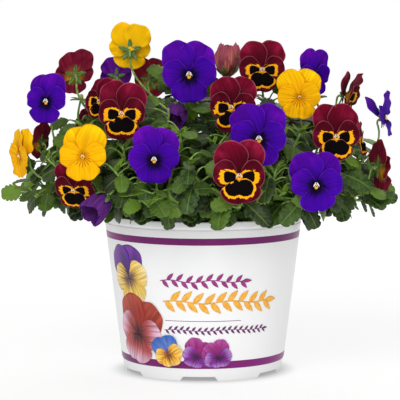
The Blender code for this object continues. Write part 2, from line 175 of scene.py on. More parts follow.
class Signal:
    def __init__(self, wires, socket):
        self.wires = wires
        self.socket = socket

    def __add__(self, other):
        return self.wires.math("ADD", self, other)

    def __sub__(self, other):
        return self.wires.math("SUBTRACT", self, other)

    def __rsub__(self, other):
        return self.wires.math("SUBTRACT", other, self)

    def __mul__(self, other):
        return self.wires.math("MULTIPLY", self, other)

    def __truediv__(self, other):
        return self.wires.math("DIVIDE", self, other)

    def __pow__(self, other):
        return self.wires.math("POWER", self, other)

    def __gt__(self, other):
        return self.wires.math("GREATER_THAN", self, other)

    def __lt__(self, other):
        return self.wires.math("LESS_THAN", self, other)

    def __abs__(self):
        return self.wires.math("ABSOLUTE", self)


# a material's nodes, one short call each

class Wiring:
    def __init__(self, name, **sockets):
        self.material = bpy.data.materials.new(name)
        self.material.use_nodes = True
        self.tree = self.material.node_tree
        self.finish(**sockets)

    def finish(self, **sockets):
        shader = self.tree.nodes["Principled BSDF"]
        for socket, value in sockets.items():
            self.feed(shader.inputs[socket.replace("_", " ")], value)
        return self.material

    def feed(self, socket, value):
        if isinstance(value, Signal):
            self.tree.links.new(value.socket, socket)
        elif socket.type == "RGBA":
            socket.default_value = (*value, 1)
        else:
            socket.default_value = value

    def add(self, kind, *values, **named):
        # the values fill a node's inputs in order, the named ones by name
        node = self.tree.nodes.new("ShaderNode" + kind)
        for socket, value in zip(node.inputs, values):
            self.feed(socket, value)
        for name, value in named.items():
            self.feed(node.inputs[name], value)
        return node

    def out(self, node, which=0):
        return Signal(self, node.outputs[which])

    def math(self, operation, *values, clamp=False):
        node = self.add("Math", *values)
        node.operation = operation
        node.use_clamp = clamp
        return self.out(node)

    def mix(self, share, first, second):
        node = self.add("Mix", share)
        node.data_type = "RGBA"
        tints = [socket for socket in node.inputs if socket.type == "RGBA"]
        self.feed(tints[0], first)
        self.feed(tints[1], second)
        return Signal(self, [socket for socket in node.outputs if socket.type == "RGBA"][0])

    def step(self, value, low, high, start=0.0, end=1.0):
        node = self.add("MapRange", value, low, high, start, end)
        node.interpolation_type = "SMOOTHSTEP"
        return self.out(node)

    def fall(self, value, low, high):
        return self.step(value, low, high, 1.0, 0.0)

    def attribute(self, name):
        node = self.add("Attribute")
        node.attribute_name = name
        return self.out(node, "Vector")

    def place(self):
        return self.out(self.add("TexCoord"), "Object")

    def split(self, vector):
        return [Signal(self, socket) for socket in self.add("SeparateXYZ", vector).outputs]

    def noise(self, vector, scale, detail=2.0, rough=0.5):
        return self.out(self.add("TexNoise", Vector=vector, Scale=scale, Detail=detail, Roughness=rough))

    def stretched(self, vector, scales, detail=2.0, rough=0.5):
        # noise drawn out along the axes with a small scale
        return self.noise(self.out(self.add("Mapping", Vector=vector, Scale=scales)), 1.0, detail, rough)

    def value(self, colour, brightness):
        return self.out(self.add("HueSaturation", Value=brightness, Color=colour))

    def length(self, x, y):
        return self.math("SQRT", x * x + y * y)

    def bump(self, height, strength, distance):
        return self.out(self.add("Bump", Height=height, Strength=strength, Distance=distance))


# where each bloom is, read from its solid in the frame

seat = {
    "lean": 7.92,                        # the solid's thin axis leans back from its face, degrees
    "flat": 0.93,                        # how squarely a facet looks ahead to count as a petal's face
    "throat": (-0.005, -0.020, 0.006),   # from the middle of its flat faces to its throat
    "furledWidth": 0.88,                 # share of a furled bloom's size that its roll is wide
    "furledMiddle": (0, 0, -0.030),
}


def solidOf(node):
    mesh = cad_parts[node].data
    mesh.calc_loop_triangles()
    points = coordinates(mesh)
    corners = np.array([triangle.vertices for triangle in mesh.loop_triangles])
    first, second, third = (points[corners[:, k]] for k in range(3))
    normals = np.cross(second - first, third - first) / 2
    return points, (first + second + third) / 3, normals, np.linalg.norm(normals, axis=1)


def middleOf(middles, areas):
    return (middles * areas[:, None]).sum(0) / areas.sum()


def seatOf(node):
    furled = node.startswith("furled")
    points, middles, normals, areas = solidOf(node)
    heart = middleOf(middles, areas)
    spread = (middles - heart) * np.sqrt(areas)[:, None]
    axes = np.linalg.eigh(spread.T @ spread)[1]
    front = Vector(axes[:, 2 if furled else 0])       # thinnest way through, or longest if furled
    depths = (points - heart) @ np.array(front)
    if depths.max() > -depths.min():                  # the neck is behind
        front = -front
    if not furled:
        ahead = normals @ np.array(front)
        flat = np.abs(ahead) > seat["flat"] * areas
        facing = Vector(normals[flat & (ahead > 0)].sum(0)).normalized()
        front = (facing + front).normalized()
        heart = middleOf(middles[flat], areas[flat])
    right = up.cross(front).normalized()
    if not furled:
        front = Matrix.Rotation(math.radians(seat["lean"]), 3, right) @ front
    top = front.cross(right)
    across = (points - heart) @ np.array(right)
    width = float(across.max() - across.min())
    if furled:
        width /= seat["furledWidth"]
    turn = Matrix((right, top, front)).transposed().to_4x4()
    place = Matrix.Translation(Vector(heart)) @ turn @ Matrix.Scale(width, 4)
    shift = Matrix.Translation(seat["furledMiddle" if furled else "throat"])
    return {"node": node, "kind": node.split("_")[1], "furled": furled, "width": width,
            "matrix": place @ shift, "front": front}


bloomNames = sorted(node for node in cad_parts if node.startswith(("bloom", "furled")))
blooms = [seatOf(node) for node in bloomNames]
print("blooms found in the frame:", len(blooms))


# petal finishes: colours are red, green and blue, from 0 to 1

# beside each kind's upper tint stands its painted highlight, a lighter tint for the outer petals
petalTints = {
    "maroon": {
        "upper": (0.150, 0.0016, 0.017), "glow": (0.300, 0.010, 0.050),
        "margin": (0.064, 0.0006, 0.0070), "dark": (0.0022, 0.0006, 0.0010),
        "border": (0.930, 0.400, 0.004), "back": (0.230, 0.014, 0.040),
        "backEye": (0.700, 0.330, 0.015), "rim": (0.480, 0.130, 0.150),
        "furled": (0.400, 0.085, 0.120), "streak": (0.860, 0.330, 0.030),
    },
    "purple": {
        "upper": (0.066, 0.0006, 0.270), "glow": (0.150, 0.0030, 0.430),
        "margin": (0.046, 0.0005, 0.300), "dark": (0.0040, 0.0005, 0.0220),
        "back": (0.150, 0.0140, 0.330), "backEye": (0.200, 0.070, 0.260), "rim": (0.170, 0.018, 0.520),
        "furled": (0.110, 0.022, 0.190), "streak": (0.055, 0.010, 0.060),
    },
    "gold": {
        "upper": (0.880, 0.475, 0.0010), "glow": (0.950, 0.590, 0.0030),
        "margin": (0.860, 0.410, 0.0008), "dark": (0.130, 0.024, 0.0010),
        # the gold rim tint is darker than the petal, painted shade along the overlapping petal edges
        "back": (0.950, 0.530, 0.0020), "backEye": (0.420, 0.210, 0.010), "rim": (0.720, 0.300, 0.002),
        "furled": (0.800, 0.400, 0.020), "streak": (0.560, 0.170, 0.002),
    },
}

# places and sizes of the marks round the throat, in shares of the bloom's width
marks = {
    "lobe": (0.098, -0.190), "lobeRadius": 0.147, "lobeBorder": 0.040,
    "wedge": (0.160, 0.000), "wedgeHalf": (0.104, 0.060), "wedgeFlare": 0.20,
    "border": (0.182, -0.008), "borderHalf": (0.160, 0.124),
    "purpleLip": (0.120, 0.250), "purpleSide": (0.110, 0.210), "purpleHaze": (0.06, 0.36),
    "whiskers": 9.0, "whiskerLip": (0.170, 0.225), "whiskerSide": (0.110, 0.160), "goldThroat": (0.03, 0.21),
}


def squareOval(x, y, middle, half):
    across = abs((x - middle[0]) / half[0]) ** 3.0
    high = abs((y - middle[1]) / half[1]) ** 3.0
    return (across + high) ** 0.333


def maroonMask(wires, spot, ground, tints):
    # a black heart on the lip and a black wedge on each side, in jagged yellow borders
    fromLobe = wires.length(spot.wide - marks["lobe"][0], spot.y - marks["lobe"][1])
    heart = fromLobe - marks["lobeRadius"] + spot.jag * 0.5
    pastBorder = heart + spot.lumps * 0.075 - marks["lobeBorder"]
    across, low = marks["wedgeHalf"]
    wedge = squareOval(spot.wide, spot.y, marks["wedge"], (across, spot.wide * marks["wedgeFlare"] + low))
    wedge += spot.jag * 4.0
    border = squareOval(spot.wide, spot.y, marks["border"], marks["borderHalf"]) + spot.lumps * 0.85
    band = wires.fall(pastBorder, -0.004, 0.004) * spot.lip + wires.fall(border, 0.97, 1.03) * spot.side
    dark = wires.fall(heart, -0.004, 0.004) * spot.lip + wires.fall(wedge, 0.97, 1.03) * spot.side
    return wires.mix(dark, wires.mix(band, ground, tints["border"]), tints["dark"])


def purpleMask(wires, spot, ground, tints):
    # a near-black blotch that frays outwards in rays
    frayed = spot.reach + (wires.stretched(spot.run, (16.0, 0.5, 5.0)) - 0.5) * 0.24
    onLip = wires.fall(frayed, *marks["purpleLip"]) * spot.lip
    dark = onLip + wires.fall(frayed, *marks["purpleSide"]) * spot.side
    haze = wires.fall(spot.reach, *marks["purpleHaze"]) * 0.5
    return wires.mix(wires.math("MAXIMUM", dark, haze), ground, tints["dark"])


def goldMask(wires, spot, ground, tints):
    # fine brown whiskers on a browner throat
    throat = wires.fall(spot.ragged, *marks["goldThroat"]) * (spot.lip + spot.side)
    ground = wires.mix(throat * 0.55, ground, tints["streak"])
    comb = abs(wires.math("SINE", spot.angle * marks["whiskers"]))
    long = wires.fall(spot.ragged, *marks["whiskerLip"]) * spot.lip
    short = wires.fall(spot.ragged, *marks["whiskerSide"]) * spot.side
    dark = wires.fall(comb, 0.16, 0.50) * (long + short) * wires.step(spot.reach, 0.020, 0.040)
    return wires.mix(dark * 0.92, ground, tints["dark"])


masks = {"maroon": maroonMask, "purple": purpleMask, "gold": goldMask}


def petalFront(kind):
    tints = petalTints[kind]
    wires = Wiring(kind + "Petal", Roughness=0.62, Specular_IOR_Level=0.04)
    run = wires.attribute("petalRun")
    x, y, layer = wires.split(wires.attribute("bloomPlace"))
    across, outward = wires.split(run)[:2]
    veins = wires.stretched(run, (9.0, 0.9, 5.0), 3.0, 0.6)
    clouds = wires.stretched(run, (1.2, 1.6, 7.0))
    upper = layer < 0.5
    lip = layer > 1.5
    side = 1.0 - (upper + lip)
    wide = abs(x)
    reach = wires.length(x, y)
    jag = (wires.stretched(run, (10.0, 2.2, 5.0), 4.0, 0.7) - 0.5) * 0.085
    lumps = (wires.stretched(run, (6.5, 5.0, 5.0), 3.0, 0.6) - 0.5) * 1.3
    spot = SimpleNamespace(wide=wide, y=y, run=run, reach=reach, jag=jag, lumps=lumps, lip=lip, side=side,
                           angle=wires.math("ARCTAN2", wide, y * -1.0), ragged=reach + jag)
    # the upper petals run from the margin tint at the throat to their own tint further out, and the side
    # petals and lip keep the margin tint; on the maroon blooms this darker margin tint is partly real colour
    # and partly painted shade
    throatToOuterTint = wires.mix(wires.step(outward, 0.30, 0.95), tints["margin"], tints["upper"])
    ground = wires.mix(upper, tints["margin"], throatToOuterTint)
    # painted highlight: patches of a lighter tint towards the outer parts of the petals, stronger on the
    # upper petals
    glow = wires.step(clouds, 0.42, 0.70) * wires.step(outward, 0.35, 0.9) * (upper * 0.5 + 0.3)
    ground = wires.mix(glow, ground, tints["glow"])
    ground = wires.value(ground, wires.step(veins, 0.33, 0.64, 0.80, 1.09))
    marked = masks[kind](wires, spot, ground, tints)
    # a line round each petal's edge in the rim tint: paler on the maroon and purple petals, darker on the
    # gold ones, where it is painted shade along the overlapping edges
    edge = wires.step(wires.length(across, outward * 2.0 - 1.0), 0.930, 1.0, 0.0, 0.5)
    return wires.finish(Base_Color=wires.mix(edge, marked, tints["rim"]),
                        Normal=wires.bump(veins + clouds * 0.8, 0.28, 0.0008))


def petalBack(kind):
    tints = petalTints[kind]
    wires = Wiring(kind + "PetalBack", Roughness=0.7, Specular_IOR_Level=0.08)
    x, y, layer = wires.split(wires.attribute("bloomPlace"))
    veins = wires.stretched(wires.attribute("petalRun"), (8.0, 0.8, 5.0), 3.0, 0.6)
    faint = wires.step(layer, 0.2, 0.8, 0.25, 1.0)      # little of it on the upper petals
    eye = wires.fall(wires.length(x, y) + veins * 0.1, 0.16, 0.36) * faint
    ground = wires.mix(wires.step(veins, 0.35, 0.70), tints["back"], tints["upper"])
    return wires.finish(Base_Color=wires.mix(eye, ground, tints["backEye"]),
                        Normal=wires.bump(veins, 0.4, 0.0009))


def petalRim(kind):
    wires = Wiring(kind + "PetalRim", Roughness=0.6)
    # the cut edge is mottled between the rim tint and the painted highlight tint
    thread = wires.noise(wires.attribute("petalRun"), 12.0)
    return wires.finish(Base_Color=wires.mix(thread, petalTints[kind]["rim"], petalTints[kind]["glow"]))


def furledSkin(kind):
    wires = Wiring(kind + "Furled", Roughness=0.7, Specular_IOR_Level=0.08)
    run = wires.attribute("petalRun")
    outward = wires.split(run)[1]
    streaks = wires.stretched(run, (3.2, 0.8, 5.0))
    veins = wires.stretched(run, (12.0, 0.8, 5.0), 3.0, 0.6)
    share = wires.step(streaks, 0.50, 0.64) * wires.fall(outward, 0.35, 0.95)
    ground = wires.mix(share, petalTints[kind]["furled"], petalTints[kind]["streak"])
    return wires.finish(Base_Color=wires.value(ground, wires.step(veins, 0.32, 0.66, 0.66, 1.15)),
                        Normal=wires.bump(veins, 0.6, 0.0012))


petalSkins = {kind: [petalFront(kind), petalBack(kind), petalRim(kind)] for kind in petalTints}
furledSkins = {kind: furledSkin(kind) for kind in petalTints}
print("petal finishes ready")


# petals, for a bloom 1 unit wide with its throat at the origin: kind is 0 for the upper
# petals, 1 for the sides and 2 for the lip, and turns and tilts are in degrees

upperForm = {"kind": 0, "cup": -0.05, "ruffle": 0.020, "notch": 0.00, "claw": 0.45}
sideForm = {"kind": 1, "cup": -0.10, "ruffle": 0.016, "notch": 0.00, "claw": 0.40, "length": 0.465}
lipForm = {"kind": 2, "cup": -0.16, "ruffle": 0.018, "notch": 0.06, "claw": 0.35, "length": 0.465}
petalPlans = (
    {**upperForm, "turn": 63, "length": 0.64, "half": 0.300, "depth": -0.084, "tilt": -9},
    {**upperForm, "turn": 117, "length": 0.65, "half": 0.305, "depth": -0.046, "tilt": -5},
    {**sideForm, "turn": 12, "half": 0.250, "depth": -0.016, "tilt": 2},
    {**sideForm, "turn": 168, "half": 0.250, "depth": -0.012, "tilt": 2},
    {**lipForm, "turn": -90, "half": 0.335, "depth": 0.006, "tilt": 3},
)
petal = {
    "grid": 16, "thickness": 0.007, "throatDrop": 0.065, "throatDip": 0.050,
    "turns": 6, "lengths": (0.94, 1.05), "halves": (0.94, 1.06), "waves": (4, 5, 6, 7),
    "scallop": 0.020, "wobble": 0.050, "roll": 0.030, "keel": 0.020, "keelHalf": 0.14, "notchHalf": 0.17,
    "cupFrom": 0.35, "throatEnd": 0.16,
    "mirrored": 0.4, "loose": 4.5, "seed": 100,
}

# blooms whose petals stand fanned apart, and by how many degrees
sprawling = {"bloom_purple_06": 24, "bloom_maroon_09": 24, "bloom_maroon_10": 24, "bloom_gold_02": 9,
             "bloom_maroon_13": 18, "bloom_maroon_12": 18, "bloom_purple_04": 10}

petalMaster = gridSheet("petalMaster", petal["grid"], petal["grid"])


def roundPlaces(mesh):
    # the square grid drawn out into a round one
    for vertex in mesh.vertices:
        a, b = vertex.co.x, vertex.co.y
        yield vertex, a * math.sqrt(max(0.0, 1 - b * b / 2)), b * math.sqrt(max(0.0, 1 - a * a / 2))


def shapePetal(plan, draw, mirror, flatness=1.0, loose=3.0):
    sheet = copyOf(petalMaster, "petal")
    turn = math.radians(plan["turn"] + draw.uniform(-petal["turns"], petal["turns"]))
    length = plan["length"] * draw.uniform(*petal["lengths"])
    half = plan["half"] * draw.uniform(*petal["halves"])
    waves = draw.choice(petal["waves"])
    phase = draw.uniform(0, math.tau)
    seed = draw.uniform(0, 50)
    tilt = math.tan(math.radians(plan["tilt"] + draw.uniform(-loose, loose)))
    ahead = outAt(turn)
    beside = Vector((-ahead.y, ahead.x, 0))
    side = -1 if mirror else 1
    places, runs = [], []
    for vertex, p, q in roundPlaces(sheet.data):
        r = min(1.0, math.hypot(p, q))
        around = math.atan2(p, q)
        wobble = noise.noise(Vector((math.cos(around) * 1.6, math.sin(around) * 1.6, seed)))
        scallop = math.sin(waves * around + phase)
        grow = 1 + r ** 3 * (petal["scallop"] * scallop + petal["wobble"] * wobble)
        claw = 1 - plan["claw"] * smoothStep(-q, 0.0, 1.0)
        sideways = half * p * claw * (1 + 0.08 * q) * grow
        outward = length * (1 + q * grow) / 2
        notch = math.exp(-(p / petal["notchHalf"]) ** 2) * smoothStep(q, 0.2, 1.0)
        outward -= length * plan["notch"] * notch
        run = outward / length
        lift = outward * tilt + plan["cup"] * length * (run - petal["cupFrom"]) ** 2
        lift += plan["ruffle"] * r ** 4 * math.sin(waves * around + phase + 1.2)
        lift += petal["roll"] * r ** 2 * noise.noise(Vector((p * 1.7, q * 1.7, seed + 9)))
        lift -= petal["throatDip"] * (1 - smoothStep(run, 0.0, petal["throatEnd"]))
        if plan["kind"] == 2:
            lift -= petal["keel"] * math.exp(-(p / petal["keelHalf"]) ** 2) * (1 - smoothStep(run, 0.2, 0.6))
        place = ahead * outward + beside * sideways
        vertex.co = (place.x * side, place.y - petal["throatDrop"], plan["depth"] + lift * flatness)
        places.append((place.x * side, place.y, plan["kind"]))
        runs.append((p, run, seed))
    giveVectors(sheet.data, "bloomPlace", places)
    giveVectors(sheet.data, "petalRun", runs)
    faceAlong(sheet)
    return sheet


def openPetals(bloom, number):
    draw = random.Random(petal["seed"] + number)
    mirror = draw.random() < petal["mirrored"]
    loose = sprawling.get(bloom["node"], petal["loose"])
    sheets = [shapePetal(plan, draw, mirror, 1.0, loose) for plan in petalPlans]
    return [thicken(sheet, petal["thickness"], petalSkins[bloom["kind"]]) for sheet in sheets]


# the petals of a furled bloom are rolled round its axis, each over the last

furled = {
    "petals": 5, "blunt": 1.9, "thickness": 0.012, "low": -0.36, "long": 0.86, "wrap": 1.0, "seed": 500,
    "narrow": 0.10, "belly": 0.28, "over": 0.016, "longer": 0.05, "curl": 0.08,
    "crumple": 0.09, "ragged": 0.10,
    "flare": {"maroon": 0.02, "purple": 0.13, "gold": 0.10},
}


def fromAxis(polygon):
    return Vector((*polygon.center.xy, 0))


def furledPetal(draw, index, flare):
    turn = index * math.tau / furled["petals"] + draw.uniform(-0.2, 0.2)
    seed = draw.uniform(0, 50)
    sheet = copyOf(petalMaster, "furledPetal")
    places, runs = [], []
    for vertex, p, q in roundPlaces(sheet.data):
        run = (1 + q) / 2 if q < 0 else 1 - 0.5 * (1 - q) ** furled["blunt"]
        girth = furled["narrow"] + furled["belly"] * math.sin(math.pi * min(1.0, run * 0.78 + 0.08))
        girth += furled["over"] * index + flare * run ** 2 * (1 + 0.5 * math.cos(p * 3))
        girth += furled["crumple"] * noise.noise(Vector((p * 2, q * 2, seed)))
        angle = turn + p * furled["wrap"]
        height = furled["low"] + run * (furled["long"] + furled["longer"] * index) - furled["curl"] * p * p
        height += furled["ragged"] * run ** 2 * noise.noise(Vector((p * 3, seed, 0)))
        vertex.co = (girth * math.cos(angle), girth * math.sin(angle), height)
        places.append((p * 0.3, 0.5 * run - 0.1, index % 3))
        runs.append((p, run, seed))
    giveVectors(sheet.data, "bloomPlace", places)
    giveVectors(sheet.data, "petalRun", runs)
    faceAlong(sheet, fromAxis)
    return sheet


def furledPetals(bloom, number):
    draw = random.Random(furled["seed"] + number)
    skin, rim = furledSkins[bloom["kind"]], petalSkins[bloom["kind"]][-1]
    flare = furled["flare"][bloom["kind"]]
    sheets = [furledPetal(draw, index, flare) for index in range(furled["petals"])]
    return [thicken(sheet, furled["thickness"], [skin, skin, rim]) for sheet in sheets]


for number, bloom in enumerate(blooms):
    makePetals = furledPetals if bloom["furled"] else openPetals
    piece = joinPieces("petals_" + bloom["node"], makePetals(bloom, number))
    piece.data.transform(bloom["matrix"])
    finishPiece(piece, "petal_" + bloom["kind"], bloom["node"])
print("petals ready")


# finishes of the greens

# the sheen tint is a painted sheen, a lighter grey-green for the leaf tops
leafTints = {
    "deep": (0.006, 0.020, 0.0030), "leaf": (0.043, 0.096, 0.0080), "young": (0.185, 0.335, 0.018),
    "vein": (0.145, 0.235, 0.045), "back": (0.058, 0.112, 0.020), "paintedSheen": (0.112, 0.165, 0.062),
}
# two colours, the scale of the mottling and the roughness
mottled = {
    "stemGreen": ((0.120, 0.240, 0.036), (0.290, 0.430, 0.080), 260.0, 0.45),
    "sepalGreen": ((0.060, 0.150, 0.028), (0.160, 0.290, 0.060), 500.0, 0.5),
    "spurGreen": ((0.240, 0.300, 0.060), (0.420, 0.420, 0.110), 500.0, 0.5),
    "throatYellow": ((0.900, 0.330, 0.006), (0.930, 0.560, 0.020), 900.0, 0.5),
    # the throat's slit is nearly black, painted shade for the opening into the spur
    "throatSlit": ((0.020, 0.004, 0.010), (0.060, 0.014, 0.014), 900.0, 0.6),
    "stigmaGreen": ((0.420, 0.520, 0.130), (0.680, 0.720, 0.300), 900.0, 0.4),
    "beardPink": ((0.780, 0.480, 0.430), (0.880, 0.740, 0.660), 900.0, 0.8),
    "beardWhite": ((0.700, 0.640, 0.760), (0.920, 0.880, 0.860), 900.0, 0.8),
    "beardCream": ((0.860, 0.700, 0.280), (0.930, 0.860, 0.560), 900.0, 0.8),
}


def leafTop():
    wires = Wiring("leafTop", Specular_IOR_Level=0.30)
    across, along, tone = wires.split(wires.attribute("leafRun"))
    wide = abs(across)
    mottle = wires.noise(wires.place(), 170.0, 3.0, 0.6)
    ground = wires.mix(wires.step(mottle, 0.32, 0.70), leafTints["deep"], leafTints["leaf"])
    # painted sheen: patches of a lighter grey-green on the leaf tops
    paintedSheen = wires.step(wires.noise(wires.place(), 28.0), 0.45, 0.75, 0.0, 0.5)
    ground = wires.mix(paintedSheen, ground, leafTints["paintedSheen"])
    ground = wires.mix(wires.math("MULTIPLY", tone, 0.9, clamp=True), ground, leafTints["young"])
    # leaves with a tone below zero are darkened: painted shade, which with the tip's lift falls mostly on the
    # leaves low on the stems; the tone also differs at random
    ground = wires.value(ground, wires.step(tone, -0.5, 0.0, 0.28, 1.0))
    comb = abs(wires.math("SINE", (along - wide * 0.22) * 17.0))
    veins = wires.math("MAXIMUM", wires.fall(wide, 0.03, 0.10), wires.fall(comb, 0.05, 0.26) * 0.4)
    return wires.finish(Base_Color=wires.mix(veins * 0.55, ground, leafTints["vein"]),
                        Roughness=wires.step(mottle, 0.3, 0.7, 0.38, 0.58),
                        Normal=wires.bump(veins * -0.8 + mottle * 0.5, 0.5, 0.0010))


def leafBack():
    wires = Wiring("leafBack", Roughness=0.65, Specular_IOR_Level=0.25)
    across, along, tone = wires.split(wires.attribute("leafRun"))
    midrib = wires.fall(abs(across), 0.03, 0.12)
    mottle = wires.noise(wires.place(), 160.0, 3.0)
    ground = wires.mix(wires.step(mottle, 0.3, 0.7), leafTints["back"], leafTints["leaf"])
    ground = wires.mix(wires.math("MULTIPLY", tone, 0.8, clamp=True), ground, leafTints["young"])
    return wires.finish(Base_Color=wires.mix(midrib, ground, leafTints["vein"]),
                        Normal=wires.bump(midrib, 0.5, 0.0010))


def mottledSkin(name, first, second, scale, rough):
    wires = Wiring(name, Roughness=rough)
    mottle = wires.noise(wires.place(), scale, 3.0)
    return wires.finish(Base_Color=wires.mix(wires.step(mottle, 0.35, 0.68), first, second),
                        Normal=wires.bump(mottle, 0.3, 0.0004))


leafSkins = [leafTop(), leafBack()]
greens = {name: mottledSkin(name, *plan) for name, plan in mottled.items()}
print("green finishes ready")


# tubes for stems, stalks and petioles: a route is a list of (point, radius)

def tubes(name, routes, ringSteps):
    curve = bpy.data.curves.new(name, "CURVE")
    curve.dimensions = "3D"
    curve.bevel_depth = 1.0
    curve.bevel_resolution = ringSteps
    curve.use_fill_caps = True
    for route in routes:
        spline = curve.splines.new("POLY")
        spline.points.add(len(route) - 1)
        for point, (place, radius) in zip(spline.points, route):
            point.co = (*place, 1)
            point.radius = radius
    obj = bpy.data.objects.new(name, curve)
    bpy.context.scene.collection.objects.link(obj)
    makeActive(obj)
    bpy.ops.object.convert(target="MESH")
    obj = bpy.context.active_object
    bpy.ops.object.mode_set(mode="EDIT")
    bpy.ops.mesh.select_all(action="SELECT")
    bpy.ops.mesh.remove_doubles(threshold=0.000001)
    bpy.ops.mesh.normals_make_consistent(inside=False)
    bpy.ops.object.mode_set(mode="OBJECT")
    giveSkins(obj, [greens["stemGreen"]])
    obj.data.shade_smooth()
    return obj


def bezier(start, first, second, end, count):
    points = []
    for step in range(count + 1):
        t = step / count
        points.append(start * (1 - t) ** 3 + first * (3 * t * (1 - t) ** 2)
                      + second * (3 * t * t * (1 - t)) + end * t ** 3)
    return points


# calyx, spur, hooked neck and throat: modelled once for a bloom 1 unit wide, then copied

calyx = {
    "sepals": 5, "half": 0.048, "start": 0.015, "length": 0.25, "depth": -0.108, "droop": (0.012, 0.035),
    "fold": 0.6, "thickness": 0.010,
    "furledHalf": 0.0912, "furledGirth": (0.15, 0.26), "furledRise": 0.42, "furledThickness": 0.016,
    "neck": ((0, -0.060, -0.120), (0, -0.068, -0.175), (0, -0.095, -0.225), (0, -0.145, -0.250),
             (0, -0.220, -0.245)),
    "neckRadius": 0.024,
    "furledNeck": ((0, 0, -0.44), (0, 0, -0.54), (0, 0, -0.65), (0, 0, -0.76)),
    "furledNeckRadius": 0.042,
    "goldEye": 0.72,                     # size of a gold bloom's eye beside the others'
    "beards": {"maroon": "beardPink", "purple": "beardWhite", "gold": "beardCream"},
    "drop": -petal["throatDrop"],
}


def ball(name, middle, radii, skin, turn=0.0):
    obj = added(bpy.ops.mesh.primitive_uv_sphere_add, name, segments=14, ring_count=9, radius=1)
    obj.data.transform(Matrix.Translation(middle) @ spinZ(turn) @ Matrix.Diagonal((*radii, 1)))
    giveSkins(obj, [greens[skin]])
    obj.data.shade_smooth()
    return obj


def sepal(turn, drop, furledUp):
    sheet = gridSheet("sepal", 3, 7)
    narrow, swell = calyx["furledGirth"]
    early, late = calyx["droop"]
    for vertex in sheet.data.vertices:
        run = (vertex.co.y + 1) / 2
        wide = vertex.co.x * (math.sin(math.pi * min(1, 0.16 + run * 0.80)) ** 0.8 + 0.02)
        if furledUp:
            girth = narrow + swell * math.sin(math.pi / 2 * min(1.0, run * 1.2))
            vertex.co = (girth, wide * calyx["furledHalf"], calyx["furledRise"] * (run - 1))
        else:
            wide *= calyx["half"]
            back = calyx["depth"] - early * run - late * run ** 3 - calyx["fold"] * abs(wide) * (1 - run)
            vertex.co = (calyx["start"] + calyx["length"] * run, wide, back)
    sheet.data.transform(Matrix.Translation((0, drop, 0)) @ spinZ(turn))
    outward = outAt(math.radians(turn)) if furledUp else -up
    faceAlong(sheet, lambda polygon: outward)
    return thicken(sheet, calyx["furledThickness" if furledUp else "thickness"], [greens["sepalGreen"]])


def sepals(drop, furledUp):
    return [sepal(90 + 360 / calyx["sepals"] * k, drop, furledUp) for k in range(calyx["sepals"])]


def neckTube(name):
    return tubes(name, [[(Vector(point), calyx[name + "Radius"]) for point in calyx[name]]], 2)


def openGreens():
    drop = calyx["drop"]
    cup = ball("cup", (0, drop, -0.130), (0.052, 0.052, 0.040), "sepalGreen")
    spur = ball("spur", (0, drop - 0.030, -0.150), (0.030, 0.032, 0.062), "spurGreen")
    return joinPieces("openGreens", sepals(drop, False) + [cup, spur, neckTube("neck")])


def furledGreens():
    cup = ball("cup", (0, 0, -0.40), (0.155, 0.155, 0.085), "sepalGreen")
    return joinPieces("furledGreens", sepals(0, True) + [cup, neckTube("furledNeck")])


def spentGreens():
    # what is left when the petals have dropped: five sepals round a swelling pod
    pod = ball("pod", (0, 0, -0.075), (0.050, 0.050, 0.075), "spurGreen")
    return joinPieces("spentGreens", sepals(0, False) + [pod])


def eye(kind):
    drop = calyx["drop"]
    small = calyx["goldEye"] if kind == "gold" else 1.0
    parts = [
        ball("throatLip", (0, drop - 0.022, -0.014), (0.036 * small, 0.042 * small, 0.030), "throatYellow"),
        # the slit is a near-black ball: painted shade for the opening into the spur
        ball("slit", (0, drop - 0.008, 0.006), (0.013 * small, 0.024 * small, 0.012), "throatSlit"),
        ball("stigma", (0, drop + 0.020, 0.002), (0.017 * small, 0.017 * small, 0.022), "stigmaGreen"),
    ]
    for side in (-1, 1):
        middle = (side * 0.030 * small, drop + 0.026 * small, 0.010)
        radii = (0.013 * small, 0.046 * small, 0.018)
        parts.append(ball("beard", middle, radii, calyx["beards"][kind], side * 30))
    return joinPieces("eye", parts)


greensMasters = {"open": openGreens(), "furled": furledGreens()}
spentMaster = spentGreens()
eyeMasters = {kind: eye(kind) for kind in petalTints}
for bloom in blooms:
    parts = [copyOf(greensMasters["furled" if bloom["furled"] else "open"], "greens")]
    if not bloom["furled"]:
        parts.append(copyOf(eyeMasters[bloom["kind"]], "eye"))
    piece = joinPieces("calyx_" + bloom["node"], parts)
    piece.data.transform(bloom["matrix"])
    finishPiece(piece, "foliage", bloom["node"])
removeMasters(*greensMasters.values(), *eyeMasters.values())
print("calyxes and throats ready")


# foliage: stems in three rings, a stalk up to each bloom, and leaves all the way up

foliage = {
    "rings": (
        {"count": 12, "turn": 8.0, "base": 0.072, "tip": 0.142, "height": 0.206, "leaves": 22,
         "pitch": (-62, 0), "rise": (12, 35),
         "branches": ({"from": 0.50, "swing": 12, "tip": 0.126, "height": 0.268, "leaves": 13},
                      {"from": 0.62, "swing": -13, "tip": 0.170, "height": 0.240, "leaves": 12},
                      {"from": 0.75, "swing": 4, "tip": 0.172, "height": 0.196, "leaves": 12})},
        {"count": 7, "turn": 20.0, "base": 0.042, "tip": 0.088, "height": 0.256, "leaves": 20,
         "pitch": (-40, 14), "rise": (5, 45),
         "branches": ({"from": 0.60, "swing": 22, "tip": 0.090, "height": 0.292, "leaves": 11},)},
        {"count": 3, "turn": 75.0, "base": 0.016, "tip": 0.030, "height": 0.282, "leaves": 16,
         "pitch": (-25, 30), "rise": (5, 50),
         "branches": ({"from": 0.60, "swing": 60, "tip": 0.040, "height": 0.306, "leaves": 9},)},
    ),
    "soil": (0.160, 0.168), "soilRadius": 0.1041, "turn": 137.5, "bladeThickness": 0.00045,
}

